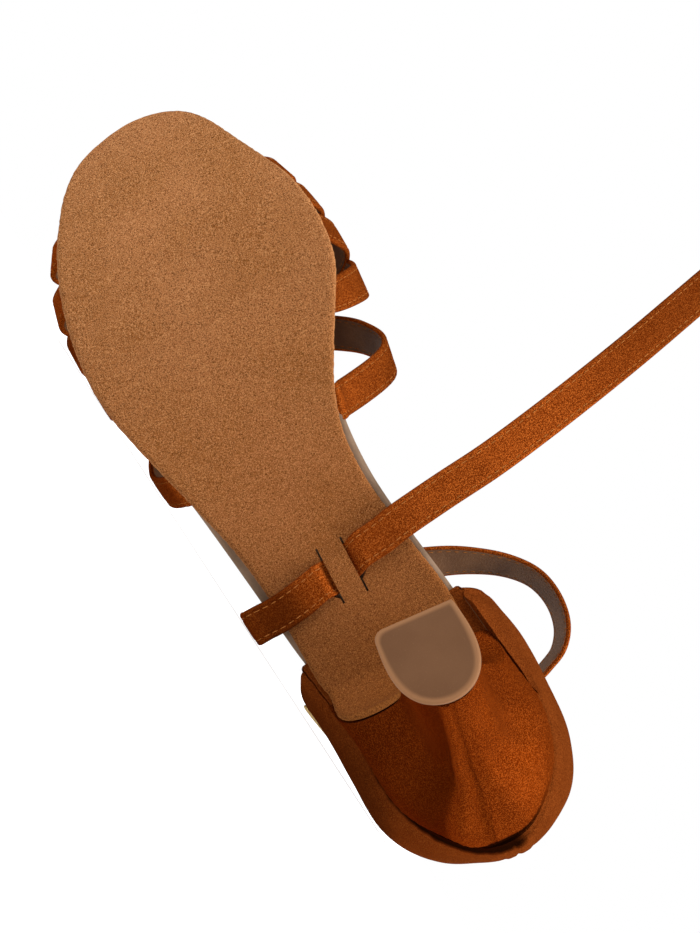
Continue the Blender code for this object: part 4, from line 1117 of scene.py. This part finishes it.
def build_ankle_strap(finishes, thread):
    """Long strap: smooth through its rows, square to the slits inside the keeper, its end rounded.

    Its satin is darkened with painted shade where it goes round the waist and towards its free end.
    """
    under = np.array(ANKLE_UNDER)
    under = np.column_stack([under[:, :2], below_bed(under[:, 0], under[:, 2]), -off_bed(under[:, 0])])
    rows = along_rows(np.concatenate([np.array(ANKLE_OVER), under, np.array(ANKLE_FREE)]), 9)
    centre = rows[:, :3]
    x, y, z = centre.T
    way = direction_along(centre)
    from_keeper = np.where(z < bed(x), np.abs(y - KEEPER_Y), np.inf)
    square = np.clip((KEEPER_SQUARE + KEEPER_EASE - from_keeper) / KEEPER_EASE, 0, 1)[:, None]
    along_slits = unit(np.stack([1 + 0 * x, 0 * x, bed_slope(x)], axis=1))
    across = unit(np.cross(rows[:, 3:], way))
    across = unit(across + square * (along_slits - across))
    left = np.linalg.norm(centre - centre[-1], axis=1)
    width = STRAP_WIDTH * eased(np.maximum(left, 0.04 * ANKLE_TIP), ANKLE_TIP)
    walked = length_along(centre)
    # painted shade round the waist and over the last stretch to the free end
    waist_shade = step_up(-y, 14.0, 25.0) * step_up(-z, -40.0, -32.0) * (1 - 0.30 * step_up(-y, 30.0, 33.0))
    free_end_shade = 0.55 * step_up(walked, walked[-1] - 85.0, walked[-1] - 35.0)
    build_band("ankle_strap_band", centre, across, width, ANKLE_THICK, finishes, thread, "ankle_strap",
               bare=(2.0, 4.5), against=np.maximum(waist_shade, free_end_shade))


# ---------------------------------------------------------------- buckle

def buckle_axes():
    """Forward, outward and bar directions of the buckle, and the middle of its bar."""
    forward = unit(BUCKLE_FORWARD)
    axis = unit(np.cross(forward, np.array(BUCKLE_OUT)))
    return forward, np.cross(axis, forward), axis, np.array(BUCKLE_BAR)


def build_tab(finishes, thread):
    """Tab folded round the bar: out along its face, half round the bar and back, open for the prong."""
    forward, out, axis, bar = buckle_axes()
    rows = along_rows(np.vstack([TAB, bar - forward * 0.2]), 6)
    side = unit(np.cross(axis, direction_along(rows)))
    ply = TAB_THICK / 4 + 0.08
    ring = BAR / 2 + GAP + ply
    offset = ply + (ring - ply) * np.linspace(0, 1, len(rows))[:, None] ** 2
    turn = np.linspace(0, np.pi, 17)[1:-1, None]
    nose = bar + ring * (np.cos(turn) * out + np.sin(turn) * forward)
    path = np.concatenate([rows + side * offset, nose, (rows - side * offset)[::-1]])
    if np.sum((path[0] - rows[0]) * out) < 0:
        path = path[::-1]
    spread = np.sin(np.linspace(-np.pi / 2, np.pi / 2, 33)) * STRAP_WIDTH / 2
    grid = path[:, None] + axis * spread[None, :, None]
    normal = grid_normals(grid)
    if np.sum(normal[0, 16] * (path[0] - bar + forward * 4)) < 0:
        grid, normal = grid[:, ::-1], -normal[:, ::-1]
    half = (ply - 0.04) * eased(STRAP_WIDTH / 2 - np.abs(spread) + 0.01, 0.5)[None, :, None]
    reach = BAR / 2 + PRONG + 3.5 * GAP
    from_bar = [np.linalg.norm(path - bar + forward * back, axis=1) for back in (0, SLOT_BACK)]
    near_bar = np.min(from_bar, axis=0) < reach
    keep = np.ones((len(path) - 1, len(spread) - 1), dtype=bool)
    slot = np.abs((spread[1:] + spread[:-1]) / 2) < PRONG / 2 + SLOT_SIDE
    keep[np.ix_(near_bar[1:] & near_bar[:-1], slot)] = False
    walked = length_along(path)
    cloth = np.stack(np.meshgrid(walked, spread, indexing="ij"), axis=2)
    sheet("buckle_tab_fold", grid + normal * half, grid - normal * half, finishes,
          "buckle_tab", keep=keep, cloth=cloth)
    whole = walked < walked[-1] * 0.40
    face = normal[whole, 16]
    lines = [(path[whole] + axis * sign * (STRAP_WIDTH / 2 - STITCH_INSET) + face * (ply - 0.05), face)
             for sign in (-1, 1)]
    stitch_line("buckle_tab_stitches", lines, thread, "buckle_tab")


def wire(name, path, flat, radii, closed, finish, node, body):
    """Round wire: a circle of the given radius carried square along a path in one plane."""
    sides = 20
    way = unit(np.roll(path, -1, axis=0) - np.roll(path, 1, axis=0)) if closed else direction_along(path)
    across = unit(np.cross(way, flat))[:, None]
    turn = (2 * np.pi * np.arange(sides) / sides)[:, None]
    radii = np.reshape(radii, (-1, 1, 1))
    rings = path[:, None] + radii * (np.cos(turn) * across + np.sin(turn) * flat)
    if closed:
        k = np.arange(len(path) * sides)
        after = k - k % sides + (k + 1) % sides
        points = rings.reshape(-1, 3)
        quads = np.stack([k, after, (after + sides) % len(k), (k + sides) % len(k)], axis=1)
        quads = facing_out(points, quads)
    else:
        points, quads = loft(rings)
    piece = make_piece(name, points, quads, [finish], sharp=60.0)
    ride_on(piece, node, body)


def build_buckle(gilt):
    """Frame: a rounded rectangle of wire.  Prong: a hook round the bar and a straight tapering shaft."""
    forward, out, axis, bar = buckle_axes()
    half = FRAME_WIDTH / 2 - FRAME_CORNER
    bend = np.radians(np.linspace(0, 90, 9))
    quarter = np.stack([np.sin(bend), np.cos(bend)], axis=1) * FRAME_CORNER
    far = quarter + (FRAME_DEPTH - FRAME_CORNER, half)
    near = quarter[::-1] * (-1, 1) + (FRAME_CORNER, half)
    loop = np.concatenate([near, far, far[::-1] * (1, -1), near[::-1] * (1, -1)])
    loop = bar + loop[:, :1] * forward + loop[:, 1:] * axis
    wire("gilt_frame", loop, out, BAR / 2, True, gilt, "buckle_frame", "buckle")

    ring = BAR / 2 + GAP + PRONG / 2
    turn = np.radians(np.linspace(345, 100, 30))
    hook = np.stack([ring * np.cos(turn), ring * np.sin(turn)], axis=1)
    shaft = np.stack([np.linspace(1.2, FRAME_DEPTH + PRONG_PAST, 16), np.full(16, ring)], axis=1)
    prong = np.concatenate([hook, shaft])
    prong = bar + prong[:, :1] * forward + prong[:, 1:] * out
    radii = np.full(len(prong), PRONG / 2)
    radii[-8:] *= (1.0, 0.99, 0.97, 0.94, 0.9, 0.84, 0.76, 0.5)
    radii[:2] *= (0.6, 0.9)
    wire("gilt_prong", prong, axis, radii, False, gilt, "buckle_prong", "prong")


# ---------------------------------------------------------------- stage

def build_floor():
    """Wide level sheet a hair under the shoe.  It glows, painted light: the camera sees a glow that is dimmer
    near the shoe and fades up to white away from it, and a weaker glow lights the shoe as painted bounce from
    the floor.
    """
    size, below = 6.0, -0.0002
    corners = [(-size, -size, below), (size, -size, below), (size, size, below), (-size, size, below)]
    mesh = bpy.data.meshes.new("studio_floor")
    mesh.from_pydata(corners, [], [(0, 1, 2, 3)])
    f = Finish("floor_paper", Roughness=0.9, Specular_IOR_Level=0.1, Emission_Strength=1.0)
    away = f.number("ShaderNodeVectorMath", {"operation": "LENGTH"}, {0: f.place()}, "Value")
    white = f.mix(away.between(0.15, 0.60), (0.75, 0.75, 0.75), (1.1, 1.1, 1.1))
    f.paint(Base_Color=f.mix(f.noise(3.0), (0.60, 0.60, 0.60), (0.62, 0.62, 0.62)),
            Emission_Color=f.mix(f.camera_only(), (0.34, 0.34, 0.34), white))
    mesh.materials.append(f.holder)
    place_in_scene("studio_floor", mesh)


def looking(place, right, up, back):
    """Placement of a light or a camera that looks against its back direction."""
    axes = np.stack([right, up, back], axis=1)
    return Matrix.Translation(place) @ Matrix(axes.tolist()).to_4x4()


def build_light():
    """White surroundings that light the shoe dimly, and the square soft lights of the table."""
    white = (1.0, 1.0, 1.0, 1.0)
    f = Finish("studio", bpy.data.worlds.new("studio"), "Background", Color=white, Strength=0.15)
    seen = f.node("ShaderNodeBackground", {}, {"Color": white, "Strength": 1.0}, 0)
    both = f.node("ShaderNodeMixShader", {}, {0: f.camera_only(), 1: f.shader.outputs[0], 2: seen}, 0)
    f.give(f.tree.nodes["World Output"].inputs["Surface"], both)
    bpy.context.scene.world = f.holder
    bpy.context.scene.view_settings.view_transform = "Standard"
    for name, place, aim, size, power in LIGHTS:
        lamp = bpy.data.lights.new(name, "AREA")
        lamp.shape = "SQUARE"
        lamp.size = size
        lamp.energy = power
        back = unit(np.array(place) - np.array(aim))
        right = unit(np.cross((0.0, 0.05, 1.0), back))
        place_in_scene(name, lamp, looking(place, right, np.cross(back, right), back))


def build_camera():
    """Camera: swung and tilted about the standing shoe, then rolled, at a set distance from its aim."""
    swing, tilt, roll = np.radians([CAMERA_SWING, CAMERA_TILT, CAMERA_ROLL])
    back = np.array([-math.sin(swing) * math.cos(tilt), math.sin(tilt), -math.cos(swing) * math.cos(tilt)])
    toe_way = unit(np.array([1.0, 0, 0]) - back * back[0])
    side = np.cross(toe_way, back)
    up = math.cos(roll) * toe_way + math.sin(roll) * side
    right = -math.sin(roll) * toe_way + math.cos(roll) * side
    data = bpy.data.cameras.new("camera")
    data.lens = LENS
    data.sensor_fit = "HORIZONTAL"
    data.clip_start = 0.01
    spot = laid(np.array(LOOK_AT) + back * DISTANCE)
    matrix = looking(spot.tolist(), TURN @ right, TURN @ up, TURN @ back)
    bpy.context.scene.camera = place_in_scene("camera", data, matrix)


# ---------------------------------------------------------------- the shoe

build_camera()
build_light()
build_floor()

heel_satin = satin_finish(
    "heel_satin_cover", (0.088, 0.0105, 0.0006), (0.132, 0.0190, 0.0013), (0.36, 0.078, 0.010), 0.35, 0.65)
counter_satin = satin_finish(
    "counter_satin_cover", (0.105, 0.0190, 0.0025), (0.150, 0.0300, 0.0042), (0.27, 0.070, 0.013), 0.15, 0.6)
strap_satin = satin_finish(
    "strap_satin_cover", (0.140, 0.0215, 0.0018), (0.200, 0.0350, 0.0034), (0.40, 0.100, 0.015), 0.45, 0.85)
lining = grained_finish(        # smooth brown kid
    "kid_lining", ((0.100, 0.040, 0.014), (0.150, 0.066, 0.026)), (90.0, 2.0, 0.30, 0.70), (1500.0, 4.0, 0.6),
    (0.00025, 0.7), (0.55, 0.25), (0.50, 0.75, 0.35, (0.21, 0.105, 0.045)), Specular_IOR_Level=0.25)
board = grained_finish(         # grey-brown cloth over board
    "bound_board", ((0.190, 0.118, 0.072), (0.260, 0.165, 0.105)), (120.0, 3.0, 0.30, 0.70),
    (1700.0, 3.0, 0.7), (0.0002, 0.8), (0.75, 0.2), (0.48, 0.72, 0.4, (0.27, 0.18, 0.115)),
    Specular_IOR_Level=0.25)
sock = grained_finish(          # tan leather
    "sock_leather", ((0.36, 0.165, 0.068), (0.46, 0.225, 0.100)), (40.0, 3.0, 0.30, 0.72), (900.0, 5.0, 0.6),
    (0.0003, 0.6), (0.5, 0.25), (0.52, 0.74, 0.35, (0.58, 0.31, 0.150)), Specular_IOR_Level=0.35)
rubber = grained_finish(        # matte, faintly scuffed, paler within 2 mm of its rounded rim
    "top_piece", ((0.124, 0.054, 0.022), (0.142, 0.064, 0.027)), (60.0, 3.0, 0.30, 0.72), (2600.0, 3.0),
    (0.0001, 0.5), (0.55, 0.2), (0.60, 0.80, 0.20, (0.30, 0.17, 0.09)), rim=(0.75, (0.30, 0.140, 0.060)),
    Specular_IOR_Level=0.15)
thread = grained_finish(        # twisted thread, lighter than the satin
    "stitch_thread", ((0.22, 0.066, 0.013), (0.42, 0.150, 0.036)), (0.35, 0.65), (3800.0, 1.0), (0.0001, 0.6),
    (0.5, 0.2), Specular_IOR_Level=0.0)
gilt = grained_finish(          # polished wire with faint drawing marks
    "gilt_wire", ((0.62, 0.42, 0.17), (0.86, 0.66, 0.34)), (0.30, 0.70), (1400.0, 3.0), (0.00006, 0.5),
    (0.16, 0.16), Metallic=1.0)
strap_finishes = [strap_satin, lining, strap_satin]

build_sole(suede_finish())
build_footbed(board, sock, thread)
build_heel(heel_satin)
build_tip(rubber)
build_counter([counter_satin, lining, counter_satin], thread)
build_vamp(strap_finishes, thread)
build_ankle_strap(strap_finishes, thread)
build_tab(strap_finishes, thread)
build_buckle(gilt)
